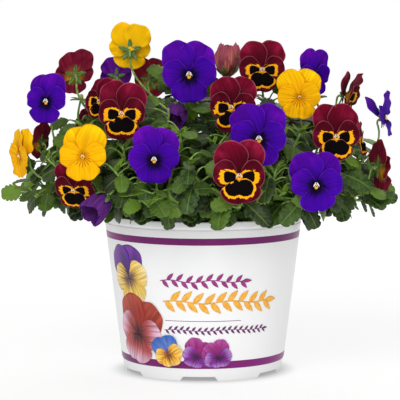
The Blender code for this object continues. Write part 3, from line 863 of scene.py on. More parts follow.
# radii are at the two ends of a stem, and low is how far up it the leaves begin
stemForm = {"radii": (0.0028, 0.0017), "steps": 12, "low": 0.06, "planted": 0.011, "collar": 0.002,
            "elbowOut": 0.2, "elbowUp": 0.55, "shrink": 0.93}
branchForm = {"radii": (0.0018, 0.0013), "steps": 10, "low": 0.30, "reach": (1.09, 0.88), "shortest": 0.02,
              "leaving": 0.35, "arriving": 0.15, "upright": 1.5, "shrink": 0.9}
stalkForm = {"radii": (0.0015, 0.0012), "steps": 16, "from": (0.80, 0.60, 0.95, 0.42, 0.25), "leaving": 0.3,
             "bows": (0.0, 0.08, -0.08, 0.15, -0.15, 0.30, -0.30, 0.45, -0.45), "pulls": (0.35, 0.55)}
spentForm = {"every": 5, "width": 0.052, "stalk": 0.034, "lengths": (0.8, 1.2), "steps": 6,
             "aside": (-0.4, 0.4), "ahead": (-0.6, 0.1), "onward": 0.3, "pull": 0.01, "above": 0.006,
             "tested": (0.3, 0.65, 1.0, 1.2), "seed": 31}
petioleForm = {"radii": (0.0010, 0.0008), "steps": 6, "length": (0.013, 0.025), "shorten": (1.15, 0.3),
               "leaving": 0.5, "arriving": 0.3, "under": 0.04, "straight": 0.75}
leafing = {
    "blade": (0.026, 0.037), "smaller": 0.30, "arch": (0.25, 0.9), "roll": 0.6,
    "stray": 75, "riseStray": (-12, 25), "pitchStray": (-16, 16),       # degrees
    "faceUp": 0.8, "faceOut": 0.5, "faceFront": (-0.25, -0.55),
    "lowest": 0.168, "hanging": 0.155, "hangingShare": 0.10,
    "trials": 16, "apart": 0.012, "roomy": 0.004, "roomyWeight": 0.10,
    # a tone below zero darkens a leaf, partly painted shade; the tip tone turns the leaves near the tips
    # young green
    "tone": (-0.5, 0.35), "tipTone": 0.45, "seed": 7,
}
tuft = {"leaves": 5, "blade": (0.012, 0.021), "arch": 0.7, "stray": 0.3, "spread": (0.4, 1.1),
        "faceOut": -0.6, "below": 0.004, "tone": (0.6, 1.0)}

# what leaves and stalks keep clear of: sizes round a bloom in shares of its width, the rest in metres
clear = {
    "bloomRadius": 0.60, "bloomMiddle": -0.03, "bloomHalfDepth": 0.13, "furledRadius": 0.52,
    "faceRadius": 0.58, "faceAhead": 1.2, "viewRadius": 0.52, "viewAhead": 0.06,
    "rimTop": 0.1765, "rimInside": 0.099, "rimOutside": 0.1110, "mixTop": 0.1685,
    "stemGap": 0.002, "branchGap": 0.0015, "stalkGap": 0.0025, "spentGap": 0.004,
    "leafGap": 0.0006, "tuftGap": 0.0005, "beyond": 0.007,
}
leafForms = (
    {"half": 0.42, "teeth": 0.17, "fold": 0.08},
    {"half": 0.38, "teeth": 0.19, "fold": 0.14},
    {"half": 0.33, "teeth": 0.18, "fold": 0.10},
    {"half": 0.17, "teeth": 0.07, "fold": 0.25},      # the young leaf of a tuft
)
leafShape = {
    "across": 4, "rows": 15, "widest": 0.44, "long": 0.58, "blunt": 2.4, "narrow": 0.30, "shoulder": 0.22,
    "toothEvery": 3, "toothForward": 0.008, "notchBack": 0.006, "pucker": 0.006, "level": 0.9,
}


def leafMaster(form):
    # a blade 1 unit long with rounded teeth, lying along +Y with its face up
    rows, every, narrow = leafShape["rows"], leafShape["toothEvery"], leafShape["narrow"]
    sheet = gridSheet("leafMaster", leafShape["across"], rows)
    runs = []
    for vertex in sheet.data.vertices:
        x, t = vertex.co.x, (vertex.co.y + 1) / 2
        row = round(t * rows)
        outline = math.sqrt(1 - abs((t - leafShape["widest"]) / leafShape["long"]) ** leafShape["blunt"])
        outline *= narrow + (1 - narrow) * smoothStep(t, -0.02, leafShape["shoulder"])
        notch = row % every == 0 and 0 < row < rows
        tooth = 1 - form["teeth"] if notch and abs(x) > 0.9 else 1.0
        forward = leafShape["toothForward"] * (row % every) * abs(x) ** 3
        if notch:
            forward = -leafShape["notchBack"] * abs(x)
        wide = x * form["half"] * outline * tooth
        lift = form["fold"] * (abs(wide) - leafShape["level"] * wide * wide / form["half"])
        lift += (-1 if notch else 1) * leafShape["pucker"] * abs(x)
        vertex.co = (wide, t + forward, lift)
        runs.append((x, t, 0.0))
    giveVectors(sheet.data, "leafRun", runs)
    faceAlong(sheet)
    return sheet


class Room:
    # the blooms, the pot and the leaves that are there already
    def __init__(self):
        self.into = np.array([np.array(bloom["matrix"].inverted()) for bloom in blooms])
        self.widths = np.array([bloom["width"] for bloom in blooms])
        self.furled = np.array([bloom["furled"] for bloom in blooms])
        self.middles = np.array([bloom["matrix"].translation for bloom in blooms])
        self.forward = np.array([bloom["furled"] or bloom["front"].y < -0.2 for bloom in blooms])
        self.leaves = np.empty((0, 3))

    def seen(self, points):
        # the points in each bloom's own units
        flat = np.c_[points, np.ones(len(points))]
        return np.einsum("bij,pj->bpi", self.into, flat)[..., :3]

    def bloomGap(self, points, skip=None):
        local = self.seen(points)
        aside = np.hypot(local[..., 0], local[..., 1]) - clear["bloomRadius"]
        through = np.abs(local[..., 2] - clear["bloomMiddle"]) - clear["bloomHalfDepth"]
        around = np.linalg.norm(local, axis=2) - clear["furledRadius"]
        gap = np.where(self.furled[:, None], around, np.maximum(aside, through)).min(1) * self.widths
        if skip is not None:
            gap[skip] = 1.0
        return gap.min()

    def hidesFace(self, points):
        # whether a point lies in front of an open bloom, or between a bloom and the front
        local = self.seen(points)
        x, y, z = (local[..., k] for k in range(3))
        ahead = (np.hypot(x, y) < clear["faceRadius"]) & (z > 0) & (z < clear["faceAhead"])
        apart = points[None] - self.middles[:, None]
        across = np.hypot(apart[..., 0], apart[..., 2]) / self.widths[:, None]
        before = -apart[..., 1]
        over = (across < clear["viewRadius"]) & (before > 0) & (before < clear["viewAhead"])
        return bool((ahead & ~self.furled[:, None] | over & self.forward[:, None]).any())

    def potGap(self, points):
        radius = np.hypot(points[:, 0], points[:, 1])
        inside = np.minimum(clear["rimInside"] - radius, points[:, 2] - clear["mixTop"])
        beside = np.maximum(radius - clear["rimOutside"], inside)
        return np.maximum(points[:, 2] - clear["rimTop"], beside).min()

    def outside(self, points):
        # how far the points stand out of the frame's own box
        low, high = (np.array(corner) for corner in cadBox)
        return float(np.maximum(low - points, points - high).max())

    def leafGap(self, points):
        if not len(self.leaves):
            return 1.0
        return float(np.linalg.norm(self.leaves[None] - points[:, None], axis=2).min())


room = Room()


def between(limits, share):
    return limits[0] + (limits[1] - limits[0]) * share


def tapered(points, radii):
    last = len(points) - 1
    return [(point, between(radii, k / last)) for k, point in enumerate(points)]


def along(points, share):
    place = 1 + share * (len(points) - 2)
    index = min(int(place), len(points) - 2)
    start, end = points[index], points[index + 1]
    return start.lerp(end, place - index), (end - start).normalized()


def soilHeight(radius):
    edge, crown = foliage["soil"]
    return crown + (edge - crown) * radius / foliage["soilRadius"]


def stemRoute(ring, azimuth):
    out = outAt(azimuth)
    surface = soilHeight(ring["base"])
    collar = out * ring["base"] + up * (surface + stemForm["collar"])
    tip = out * ring["tip"] + up * ring["height"]
    share = stemForm["elbowOut"]
    elbow = out * (ring["base"] * (1 - share) + ring["tip"] * share)
    elbow += up * (surface + (ring["height"] - surface) * stemForm["elbowUp"])
    while True:
        points = bezier(collar, collar.lerp(elbow, 2 / 3), tip.lerp(elbow, 2 / 3), tip, stemForm["steps"])
        if room.bloomGap(np.array(points)) > clear["stemGap"]:
            return [collar - up * stemForm["planted"]] + points
        tip = collar.lerp(tip, stemForm["shrink"])
        elbow = collar.lerp(elbow, stemForm["shrink"])


def branchRoute(stem, azimuth, plan):
    # a side branch leaves the stem and rises to its own tip
    start, direction = along(stem, plan["from"])
    out = outAt(azimuth, *branchForm["reach"])
    tip = out * plan["tip"] + up * plan["height"]
    while (tip - start).length > branchForm["shortest"]:
        reach = (tip - start).length
        leaving = start + direction * reach * branchForm["leaving"]
        arriving = tip - (out + up * branchForm["upright"]) * reach * branchForm["arriving"]
        points = bezier(start, leaving, arriving, tip, branchForm["steps"])
        if room.bloomGap(np.array(points)) > clear["branchGap"]:
            return points
        tip = start.lerp(tip, branchForm["shrink"])
    return None


def planShoot(ring, azimuth, number):
    stem = stemRoute(ring, azimuth)
    stems = [{"points": stem, "azimuth": azimuth, "low": stemForm["low"], "leaves": ring["leaves"]}]
    for plan in ring["branches"]:
        turned = azimuth + math.radians(plan["swing"])
        points = branchRoute(stem, turned, plan)
        if points:
            stems.append({"points": points, "azimuth": turned, "low": branchForm["low"],
                          "leaves": plan["leaves"]})
    routes = [tapered(stem, stemForm["radii"])]
    routes += [tapered(branch["points"], branchForm["radii"]) for branch in stems[1:]]
    return {"node": f"shoot_{number:02d}", "ring": ring, "stems": stems, "routes": routes, "spent": [],
            "blades": []}


def planShoots():
    places = [(ring, math.radians(ring["turn"] + index * 360.0 / ring["count"]))
              for ring in foliage["rings"] for index in range(ring["count"])]
    return [planShoot(ring, azimuth, number) for number, (ring, azimuth) in enumerate(places, 1)]


def stalkRoute(stem, neckEnd, leaving, number):
    # the least bowed way up from the stem that is clear of the other blooms
    best = None
    for share in stalkForm["from"]:
        start, direction = along(stem, share)
        reach = (neckEnd - start).length
        side = direction.cross(neckEnd - start)
        side = side.normalized() if side.length > 1e-6 else Vector((1, 0, 0))
        for bow in stalkForm["bows"]:
            for pull in stalkForm["pulls"]:
                first = start + direction * reach * stalkForm["leaving"] + side * reach * bow
                second = neckEnd + leaving * reach * pull + side * reach * bow
                route = bezier(start, first, second, neckEnd, stalkForm["steps"])
                gap = room.bloomGap(np.array(route[:-3]), number)
                if gap > clear["stalkGap"]:
                    return route
                if best is None or gap > best[0]:
                    best = (gap, route)
    return best[1]


def growStalks(shoots):
    # the frame's shoot that ends at a bloom's neck is the one that carries it
    clouds = {shoot["node"]: coordinates(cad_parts[shoot["node"]].data) for shoot in shoots}
    for number, bloom in enumerate(blooms):
        neck = calyx["furledNeck" if bloom["furled"] else "neck"]
        before, neckEnd = (bloom["matrix"] @ Vector(point) for point in neck[-2:])
        shoot = min(shoots, key=lambda s: np.linalg.norm(clouds[s["node"]] - np.array(neckEnd), axis=1).min())
        route = stalkRoute(shoot["stems"][0]["points"], neckEnd, (neckEnd - before).normalized(), number)
        shoot["routes"].append(tapered(route, stalkForm["radii"]))


def growSpent(shoots):
    # a bare calyx on its stalk above some of the branches
    draw = random.Random(spentForm["seed"])
    tips = [(shoot, stem) for shoot in shoots for stem in shoot["stems"][1:]]
    for shoot, stem in tips[::spentForm["every"]]:
        tip, direction = along(stem["points"], 1.0)
        lean = Vector((draw.uniform(*spentForm["aside"]), draw.uniform(*spentForm["ahead"]), 1)).normalized()
        rising = (direction * spentForm["onward"] + lean).normalized()
        end = tip + rising * spentForm["stalk"] * draw.uniform(*spentForm["lengths"])
        path = np.array([tip.lerp(end, share) for share in spentForm["tested"]])
        if room.bloomGap(path) < clear["spentGap"] or room.hidesFace(path):
            continue
        pull = spentForm["pull"]
        stalk = bezier(tip, tip + direction * pull, end - lean * pull, end, spentForm["steps"])
        shoot["routes"].append(tapered(stalk, stalkForm["radii"]))
        spent = copyOf(spentMaster, "spent")
        turned = lean.to_track_quat("Z", "Y").to_matrix().to_4x4() @ Matrix.Scale(spentForm["width"], 4)
        spent.data.transform(Matrix.Translation(end + lean * spentForm["above"]) @ turned)
        shoot["spent"].append(spent)


def bladePoints(shape, base, heading, face, size, arch, roll):
    # the master's points bent along an arc, then turned so that the blade runs along heading
    normal = face - heading * face.dot(heading)
    normal = normal.normalized() if normal.length > 0.05 else heading.orthogonal().normalized()
    side = Matrix.Rotation(roll, 3, heading) @ heading.cross(normal)
    normal = side.cross(heading)
    bend = shape[:, 1] * arch
    ahead = np.sin(bend) / arch + shape[:, 2] * np.sin(bend)
    lift = (np.cos(bend) - 1) / arch + shape[:, 2] * np.cos(bend)
    return (np.array(base) + size * (shape[:, :1] * np.array(side) + ahead[:, None] * np.array(heading)
                                     + lift[:, None] * np.array(normal)))


# the points of a blade that stand for it when leaves are kept apart
footAndTip = [2, 30, 34, 77]
youngMiddle = [37]


def tryLeaf(shoot, stem, index, share, draw, shapes):
    # one way for a leaf to grow: out along its petiole, then over to its own pitch
    ring = shoot["ring"]
    azimuth = stem["azimuth"] + math.radians(index * foliage["turn"])
    azimuth += math.radians(draw.uniform(-leafing["stray"], leafing["stray"]))
    out = outAt(azimuth)
    rise = math.radians(between(ring["rise"], share) + draw.uniform(*leafing["riseStray"]))
    pitch = math.radians(between(ring["pitch"], share) + draw.uniform(*leafing["pitchStray"]))
    size = draw.uniform(*leafing["blade"]) * (1.0 - leafing["smaller"] * share ** 3)
    whole, less = petioleForm["shorten"]
    length = draw.uniform(*petioleForm["length"]) * (whole - less * share)
    leaving = out * math.cos(rise) + up * math.sin(rise)
    heading = out * math.cos(pitch) + up * math.sin(pitch)
    straight = petioleForm["straight"]
    start = along(stem["points"], share)[0]
    end = start + leaving * length * straight + heading * length * (1 - straight)
    radial = outAt(stem["azimuth"])
    front, sides = leafing["faceFront"]
    face = up * leafing["faceUp"] + radial * leafing["faceOut"]
    face += Vector((0, front + sides * abs(radial.x) ** 2, 0))
    form = draw.randrange(len(shapes))
    arch = draw.uniform(*leafing["arch"])
    roll = draw.uniform(-leafing["roll"], leafing["roll"])
    petiole = bezier(start, start + leaving * length * petioleForm["leaving"],
                     end - heading * length * petioleForm["arriving"],
                     end + heading * size * petioleForm["under"], petioleForm["steps"])
    return {"points": bladePoints(shapes[form], end, heading, face, size, arch, roll), "form": form,
            "petiole": petiole}


def planLeaf(shoot, stem, index, draw, shapes):
    # the best of some tries: well away from other leaves, and hiding no bloom
    low = stem["low"]
    share = min(1.0, low + (1 - low) * (index + draw.uniform(0, 1)) / stem["leaves"])
    best = None
    lowest = leafing["hanging"] if draw.random() < leafing["hangingShare"] else leafing["lowest"]
    for trial in range(leafing["trials"]):
        leaf = tryLeaf(shoot, stem, index, share, draw, shapes)
        test = leaf["points"][::4]
        if test[:, 2].min() < lowest or room.outside(test) > clear["beyond"]:
            continue
        gap = min(room.bloomGap(test), room.potGap(test))
        if gap < clear["leafGap"] or room.hidesFace(test):
            continue
        spread = leaf["points"][footAndTip]
        score = min(room.leafGap(spread), leafing["apart"])
        score += leafing["roomyWeight"] * min(gap, leafing["roomy"])
        if best is None or score > best["score"]:
            tone = draw.uniform(*leafing["tone"]) + leafing["tipTone"] * smoothStep(share, 0.6, 1.0)
            best = {**leaf, "score": score, "spread": spread, "tone": tone}
    return best


def planTuft(stem, draw, shapes):
    # narrow young leaves round the tip
    tip, direction = along(stem["points"], 1.0)
    form = len(shapes) - 1
    leaves = []
    for index in range(tuft["leaves"]):
        out = outAt(index * math.radians(foliage["turn"]) + draw.uniform(-tuft["stray"], tuft["stray"]))
        heading = (out * draw.uniform(*tuft["spread"]) + up).normalized()
        size = draw.uniform(*tuft["blade"])
        base = tip - direction * tuft["below"]
        points = bladePoints(shapes[form], base, heading, up + out * tuft["faceOut"], size, tuft["arch"], 0.0)
        if room.bloomGap(points) > clear["tuftGap"] and not room.hidesFace(points):
            leaves.append({"points": points, "spread": points[youngMiddle], "form": form,
                           "tone": draw.uniform(*tuft["tone"]), "petiole": None})
    return leaves


def placeLeaf(shoot, leaf):
    room.leaves = np.vstack([room.leaves, leaf["spread"]])
    shoot["blades"].append(leaf)
    if leaf["petiole"]:
        shoot["routes"].append(tapered(leaf["petiole"], petioleForm["radii"]))


def growLeaves(shoots, masters):
    shapes = [coordinates(master.data) for master in masters]
    draw = random.Random(leafing["seed"])
    growing = [(shoot, stem) for shoot in shoots for stem in shoot["stems"]]
    for shoot, stem in growing:
        for leaf in planTuft(stem, draw, shapes):
            placeLeaf(shoot, leaf)
    for index in range(max(stem["leaves"] for shoot, stem in growing)):
        for shoot, stem in growing:
            leaf = planLeaf(shoot, stem, index, draw, shapes[:-1]) if index < stem["leaves"] else None
            if leaf:
                placeLeaf(shoot, leaf)


def makeBlade(master, leaf):
    blade = copyOf(master, "blade")
    blade.data.vertices.foreach_set("co", np.asarray(leaf["points"], np.float32).ravel())
    blade.data.update()
    runs = blade.data.attributes["leafRun"].data
    tones = np.empty(len(runs) * 3, np.float32)
    runs.foreach_get("vector", tones)
    tones[2::3] = leaf["tone"]
    runs.foreach_set("vector", tones)
    return blade


def makeShoot(shoot, masters):
    blades = joinPieces("blades", [makeBlade(masters[leaf["form"]], leaf) for leaf in shoot["blades"]])
    thicken(blades, foliage["bladeThickness"], leafSkins)
    stems = tubes("stems", shoot["routes"], 1)
    piece = joinPieces("leafy_" + shoot["node"], [blades, stems] + shoot["spent"])
    finishPiece(piece, "foliage", shoot["node"])


shoots = planShoots()
growStalks(shoots)
growSpent(shoots)
leafMasters = [leafMaster(form) for form in leafForms]
growLeaves(shoots, leafMasters)
for shoot in shoots:
    makeShoot(shoot, leafMasters)
removeMasters(spentMaster, *leafMasters)
print("leaves placed:", sum(len(shoot["blades"]) for shoot in shoots))


# the pot: a thin moulded shell with a rolled rim, notched foot ring and drain holes

pot = {
    "sides": 192, "height": 0.1735, "rimRadius": 0.1092, "rimDepth": 0.0070, "rimRound": 0.0011,
    "rimWidth": 0.0035, "lipRound": 0.0005,
    "topRadius": 0.1079, "footTopRadius": 0.0893, "wall": 0.0016,
    "step": 0.0152, "footRadius": 0.0856, "footWidth": 0.0030, "footRound": 0.0006, "underside": 0.0060,
    "floorHeart": 0.010, "floorRing": 0.040, "floorRound": 0.004, "stepRound": 0.0004,
    "notches": 6, "notchStart": -93.0, "notchWide": 0.044, "notchHigh": 0.0050, "notchDeep": 0.022,
    "holes": 6, "holeRadius": 0.0045, "holeCircle": 0.055, "holeDeep": 0.012,
    "groove": 0.1652, "grooveDeep": 0.0009, "smooth": 35,
    "plastic": ((0.800, 0.802, 0.808), (0.838, 0.838, 0.838)),
    "ink": ((0.140, 0.006, 0.110), (0.205, 0.009, 0.160)),
    "bands": ((0.1485, 0.1560), (0.0139, 0.0222)),
    "rule": {"height": 0.0662, "half": 0.00035, "reach": 25.0},
    "inked": (0.1247, 0.0862),      # slope and start of the radius past which the wall takes ink
}


def wallRadius(height):
    share = (height - pot["step"]) / (pot["height"] - pot["rimDepth"] - pot["step"])
    return pot["footTopRadius"] + (pot["topRadius"] - pot["footTopRadius"]) * share


def arc(middle, radius, first, last, count):
    turns = [math.radians(first + (last - first) * k / count) for k in range(count + 1)]
    return [(middle[0] + radius * math.cos(turn), middle[1] + radius * math.sin(turn)) for turn in turns]


def potProfile():
    # from the middle of the floor up the inside, over the rim and down to the underside
    rim, high, r = pot["rimRadius"], pot["height"], pot["rimRound"]
    under = high - pot["rimDepth"]
    floor = pot["underside"] + pot["wall"]
    step, ledge = pot["step"], pot["stepRound"]
    bend, foot, toe = pot["floorRound"], pot["footRadius"], pot["footRound"]
    heart, ring, lip = pot["floorHeart"], pot["floorRing"], pot["lipRound"]
    profile = [(heart, floor), (ring, floor)]
    profile += arc((wallRadius(step) - pot["wall"] - bend, floor + bend), bend, -90, 0, 5)
    profile += [(wallRadius(h) - pot["wall"], h) for h in (0.05, 0.10, under - 0.001)]
    profile += arc((rim - pot["rimWidth"] + r, high - r), r, 180, 90, 4)
    profile += arc((rim - r, high - r), r, 90, 0, 5)
    profile += arc((rim - lip, under + 2 * lip), lip, 0, -90, 3)
    profile += [(wallRadius(under) + 0.0002, under + 0.0003), (wallRadius(under) - 0.0003, under - 0.0003)]
    for above, deep in ((0.0005, 1.0), (-0.0006, 1.0), (-0.0014, 0.0)):
        height = pot["groove"] + above
        profile += [(wallRadius(height) - deep * pot["grooveDeep"], height)]
    profile += [(wallRadius(h), h) for h in (0.135, 0.10, 0.06, 0.03)]
    profile += arc((wallRadius(step) - ledge, step + ledge), ledge, 0, -60, 2)
    profile += [(pot["footTopRadius"] - 0.0009, step - 0.0012)]
    profile += arc((foot - toe, toe), toe, 0, -90, 3)
    profile += arc((foot - pot["footWidth"] + toe, toe), toe, -90, -180, 3)
    inner = foot - pot["footWidth"] - 0.0008
    return profile + [(radius, pot["underside"]) for radius in (inner, ring, heart)]


def turnedPiece(name, profile, sides):
    # a ring drawn up along the profile in edit mode, closed at both ends
    radius, height = profile[0]
    obj = added(bpy.ops.mesh.primitive_circle_add, name, vertices=sides, radius=radius,
                location=(0, 0, height), fill_type="NGON")
    bpy.ops.object.transform_apply(location=True)
    bpy.ops.object.mode_set(mode="EDIT")
    bpy.ops.mesh.select_mode(type="EDGE")
    bpy.ops.mesh.select_all(action="SELECT")
    for (before, low), (after, high) in zip(profile, profile[1:]):
        bpy.ops.mesh.extrude_edges_move(TRANSFORM_OT_translate={"value": (0, 0, high - low)})
        bpy.ops.transform.resize(value=(after / before, after / before, 1), center_override=(0, 0, high))
    bpy.ops.mesh.edge_face_add()
    bpy.ops.mesh.select_all(action="SELECT")
    bpy.ops.mesh.normals_make_consistent(inside=False)
    bpy.ops.object.mode_set(mode="OBJECT")
    return obj


def cutRound(obj, makeCutter, count, start=0.0):
    # the same cut all the way round
    for index in range(count):
        cutter = makeCutter()
        cutter.data.transform(spinZ(start + index * 360.0 / count))
        boolean = obj.modifiers.new("cut", "BOOLEAN")
        boolean.operation = "DIFFERENCE"
        boolean.object = cutter
        applyModifiers(obj)
        bpy.data.objects.remove(cutter, do_unlink=True)


def notchCutter():
    # a block with slanted ends that opens the foot ring between two feet
    block = added(bpy.ops.mesh.primitive_cube_add, "notch", size=1)
    high, wide = pot["notchHigh"], pot["notchWide"]
    for vertex in block.data.vertices:
        x, y, z = vertex.co
        width, height = (wide - 2 * high, high) if z > 0 else (wide, -0.002)
        vertex.co = (pot["footRadius"] + x * pot["notchDeep"], y * width, height)
    return block


def holeCutter():
    drill = added(bpy.ops.mesh.primitive_cylinder_add, "hole", vertices=24, radius=pot["holeRadius"],
                  depth=pot["holeDeep"], location=(pot["holeCircle"], 0, pot["underside"]))
    bpy.ops.object.transform_apply(location=True)
    return drill


def potSkin():
    # white plastic, with two plum bands and one thin rule printed on it
    wires = Wiring("pottedWhite", Specular_IOR_Level=0.22)
    place = wires.place()
    x, y, z = wires.split(place)
    slope, start = pot["inked"]
    outside = wires.length(x, y) > z * slope + start
    cloud = wires.noise(place, 9.0, 3.0)
    fine = wires.noise(place, 420.0)
    upper, lower = ((z > low) * (z < high) for low, high in pot["bands"])
    rule = pot["rule"]
    ahead = abs(wires.math("ARCTAN2", x, y * -1.0))
    thin = (abs(z - rule["height"]) < rule["half"]) * (ahead < math.radians(rule["reach"]))
    printed = wires.math("ADD", upper + lower, thin, clamp=True) * outside
    ink = wires.mix(wires.step(cloud, 0.35, 0.65), *pot["ink"])
    return wires.finish(Base_Color=wires.mix(printed, wires.mix(cloud, *pot["plastic"]), ink),
                        Roughness=wires.step(fine, 0.3, 0.7, 0.29, 0.33),
                        Normal=wires.bump(cloud, 0.06, 0.0015))


shell = turnedPiece("whitePot", potProfile(), pot["sides"])
cutRound(shell, notchCutter, pot["notches"], pot["notchStart"])
cutRound(shell, holeCutter, pot["holes"])
giveSkins(shell, [potSkin()])
makeActive(shell)
bpy.ops.object.shade_smooth_by_angle(angle=math.radians(pot["smooth"]))
finishPiece(shell, "pot", "pot")
print("pot ready")


# pansies printed round the left of the pot: turn in degrees from its front, sizes in metres

inks = {
    "violetGold": {
        "upper": (0.085, 0.012, 0.235), "upperEdge": (0.200, 0.040, 0.380),
        "lower": (0.860, 0.560, 0.090), "lowerEdge": (0.860, 0.680, 0.300), "dark": (0.045, 0.008, 0.060),
    },
    "rust": {
        "upper": (0.300, 0.020, 0.012), "upperEdge": (0.430, 0.060, 0.030),
        "lower": (0.400, 0.060, 0.060), "lowerEdge": (0.700, 0.430, 0.560), "dark": (0.030, 0.004, 0.008),
    },
    "skyGold": {
        "upper": (0.100, 0.190, 0.560), "upperEdge": (0.040, 0.130, 0.480),
        "lower": (0.860, 0.420, 0.030), "lowerEdge": (0.840, 0.600, 0.160), "dark": (0.130, 0.020, 0.010),
    },
    "magenta": {
        "upper": (0.290, 0.010, 0.170), "upperEdge": (0.420, 0.060, 0.300),
        "lower": (0.200, 0.015, 0.260), "lowerEdge": (0.420, 0.200, 0.560), "dark": (0.030, 0.002, 0.030),
    },
}
prints = (
    {"ink": "violetGold", "turn": -52, "height": 0.1120, "width": 0.062, "spin": 12, "layer": 0.0002},
    {"ink": "rust", "turn": -47, "height": 0.0530, "width": 0.067, "spin": -14, "layer": 0.0009},
    {"ink": "skyGold", "turn": -24, "height": 0.0300, "width": 0.035, "spin": 20, "layer": 0.0016},
    {"ink": "magenta", "turn": -4, "height": 0.0285, "width": 0.033, "spin": -18, "layer": 0.0002},
    {"ink": "magenta", "turn": 10, "height": 0.0270, "width": 0.033, "spin": 16, "layer": 0.0009},
)
film = {
    "thickness": 0.0001,
    "step": 0.00012,                # each printed petal lies this far over the last
    "edge": (0.0155, 0.0290),       # below the second height a print is squeezed to end at the first
    "seed": 900,
}


def printSkin(name, tints):
    wires = Wiring(name + "Print", Roughness=0.35, Specular_IOR_Level=0.3)
    run = wires.attribute("petalRun")
    x, y, layer = wires.split(wires.attribute("bloomPlace"))
    veins = wires.stretched(run, (8.0, 0.7, 5.0), 3.0, 0.6)
    rays = wires.stretched(run, (14.0, 0.4, 5.0))
    rim = wires.step(wires.split(run)[1] + veins * 0.3, 0.55, 1.15)
    ground = wires.mix(layer > 0.5, wires.mix(rim, tints["upper"], tints["upperEdge"]),
                       wires.mix(rim, tints["lower"], tints["lowerEdge"]))
    ground = wires.value(ground, wires.step(veins, 0.32, 0.66, 0.62, 1.15))
    frayed = wires.length(x, y) + (rays - 0.5) * 0.5
    return wires.finish(Base_Color=wires.mix(wires.fall(frayed, 0.06, 0.26) * 0.9, ground, tints["dark"]),
                        Normal=wires.bump(veins, 0.1, 0.0003))


def wrapRound(sheet, turn, layer, skin):
    # a flat print with its height in Y, laid on the wall
    for vertex in sheet.data.vertices:
        radius = wallRadius(vertex.co.y) + layer
        around = math.radians(turn - 90) + vertex.co.x / radius
        vertex.co = (radius * math.cos(around), radius * math.sin(around), vertex.co.y)
    return thicken(sheet, film["thickness"], [skin])


def printPansy(plan, number, skin):
    draw = random.Random(film["seed"] + number)
    end, start = film["edge"]
    petals = []
    for order, shape in enumerate(petalPlans):
        sheet = shapePetal(shape, draw, False, 0.0)
        sheet.data.transform(spinZ(plan["spin"]) @ Matrix.Scale(plan["width"], 4))
        lowest = plan["height"] + min(vertex.co.y for vertex in sheet.data.vertices)
        squeeze = (start - end) / (start - lowest) if lowest < end else 1.0
        for vertex in sheet.data.vertices:
            height = plan["height"] + vertex.co.y
            vertex.co.y = start + (height - start) * squeeze if height < start else height
        petals.append(wrapRound(sheet, plan["turn"], plan["layer"] + film["step"] * order, skin))
    return petals


printSkins = {name: printSkin(name, tints) for name, tints in inks.items()}
printed = []
for number, plan in enumerate(prints):
    printed += printPansy(plan, number, printSkins[plan["ink"]])
finishPiece(joinPieces("printedPansies", printed), "pot", "pot")
removeMasters(petalMaster)
print("printed pansies ready")


# plain leafy sprigs printed across the front: turns in degrees from the pot's front

sprigs = (
    {"name": "pinkSprig", "tints": ((0.230, 0.008, 0.140), (0.340, 0.018, 0.220)), "from": -27, "to": 25,
     "height": 0.1095, "rise": 0.0012, "leaves": 17, "leaf": 0.0105},
    {"name": "goldSprig", "tints": ((0.780, 0.340, 0.020), (0.860, 0.460, 0.050)), "from": -26, "to": 43,
     "height": 0.0868, "rise": 0.0014, "leaves": 19, "leaf": 0.0155},
    {"name": "plumSprig", "tints": ((0.098, 0.004, 0.094), (0.150, 0.006, 0.130)), "from": -26, "to": 43,
     "height": 0.0560, "rise": 0.0006, "leaves": 35, "leaf": 0.0060},
)
sprig = {"stemHalf": 0.045, "stemSteps": 60, "waves": 2, "leafHalf": 0.20, "slant": 46,
         "stemLayer": 0.0002, "leafLayer": 0.0004, "mottle": (300.0, 0.4)}


def sprigLeaf(size, angle, place):
    sheet = gridSheet("sprigLeaf", 4, 10)
    for vertex in sheet.data.vertices:
        run = (vertex.co.y + 1) / 2
        wide = vertex.co.x * sprig["leafHalf"] * (math.sin(math.pi * (0.03 + 0.94 * run) ** 0.8) + 0.03)
        vertex.co = (run * size, wide * size, 0)
    sheet.data.transform(Matrix.Translation((*place, 0)) @ spinZ(angle))
    return sheet


def printSprig(plan):
    length = wallRadius(plan["height"]) * math.radians(plan["to"] - plan["from"])
    turn = (plan["from"] + plan["to"]) / 2
    skin = mottledSkin(plan["name"], *plan["tints"], *sprig["mottle"])

    def onStem(share, aside=0.0):
        wave = plan["rise"] * math.sin(math.tau * sprig["waves"] * share)
        return length * (share - 0.5), plan["height"] + wave + aside

    stem = gridSheet("sprigStem", sprig["stemSteps"], 1)
    for vertex in stem.data.vertices:
        aside = vertex.co.y * sprig["stemHalf"] * plan["leaf"]
        vertex.co = (*onStem((vertex.co.x + 1) / 2, aside), 0)
    leaves = [sprigLeaf(plan["leaf"], 0, onStem(1.0))]
    for index in range(plan["leaves"]):
        slant = sprig["slant"] * (1 if index % 2 else -1)
        leaves.append(sprigLeaf(plan["leaf"], slant, onStem((index + 0.5) / plan["leaves"])))
    foliate = joinPieces("sprigLeaves", leaves)
    faceAlong(stem)
    faceAlong(foliate)
    return joinPieces(plan["name"], [wrapRound(stem, turn, sprig["stemLayer"], skin),
                                     wrapRound(foliate, turn, sprig["leafLayer"], skin)])


finishPiece(joinPieces("printedSprigs", [printSprig(plan) for plan in sprigs]), "pot", "pot")
print("printed sprigs ready")


# the potting mix: dark crumbly peat, crowned in the middle

mix = {
    "sides": 120, "rings": 34, "gap": 0.0004, "lump": 0.0022,
    "crumbs": 420, "crumb": (0.0010, 0.0030), "crumbEdge": 0.004, "seed": 31,
    "peat": ((0.006, 0.004, 0.003), (0.034, 0.021, 0.013)), "fibre": (0.090, 0.056, 0.032),
}


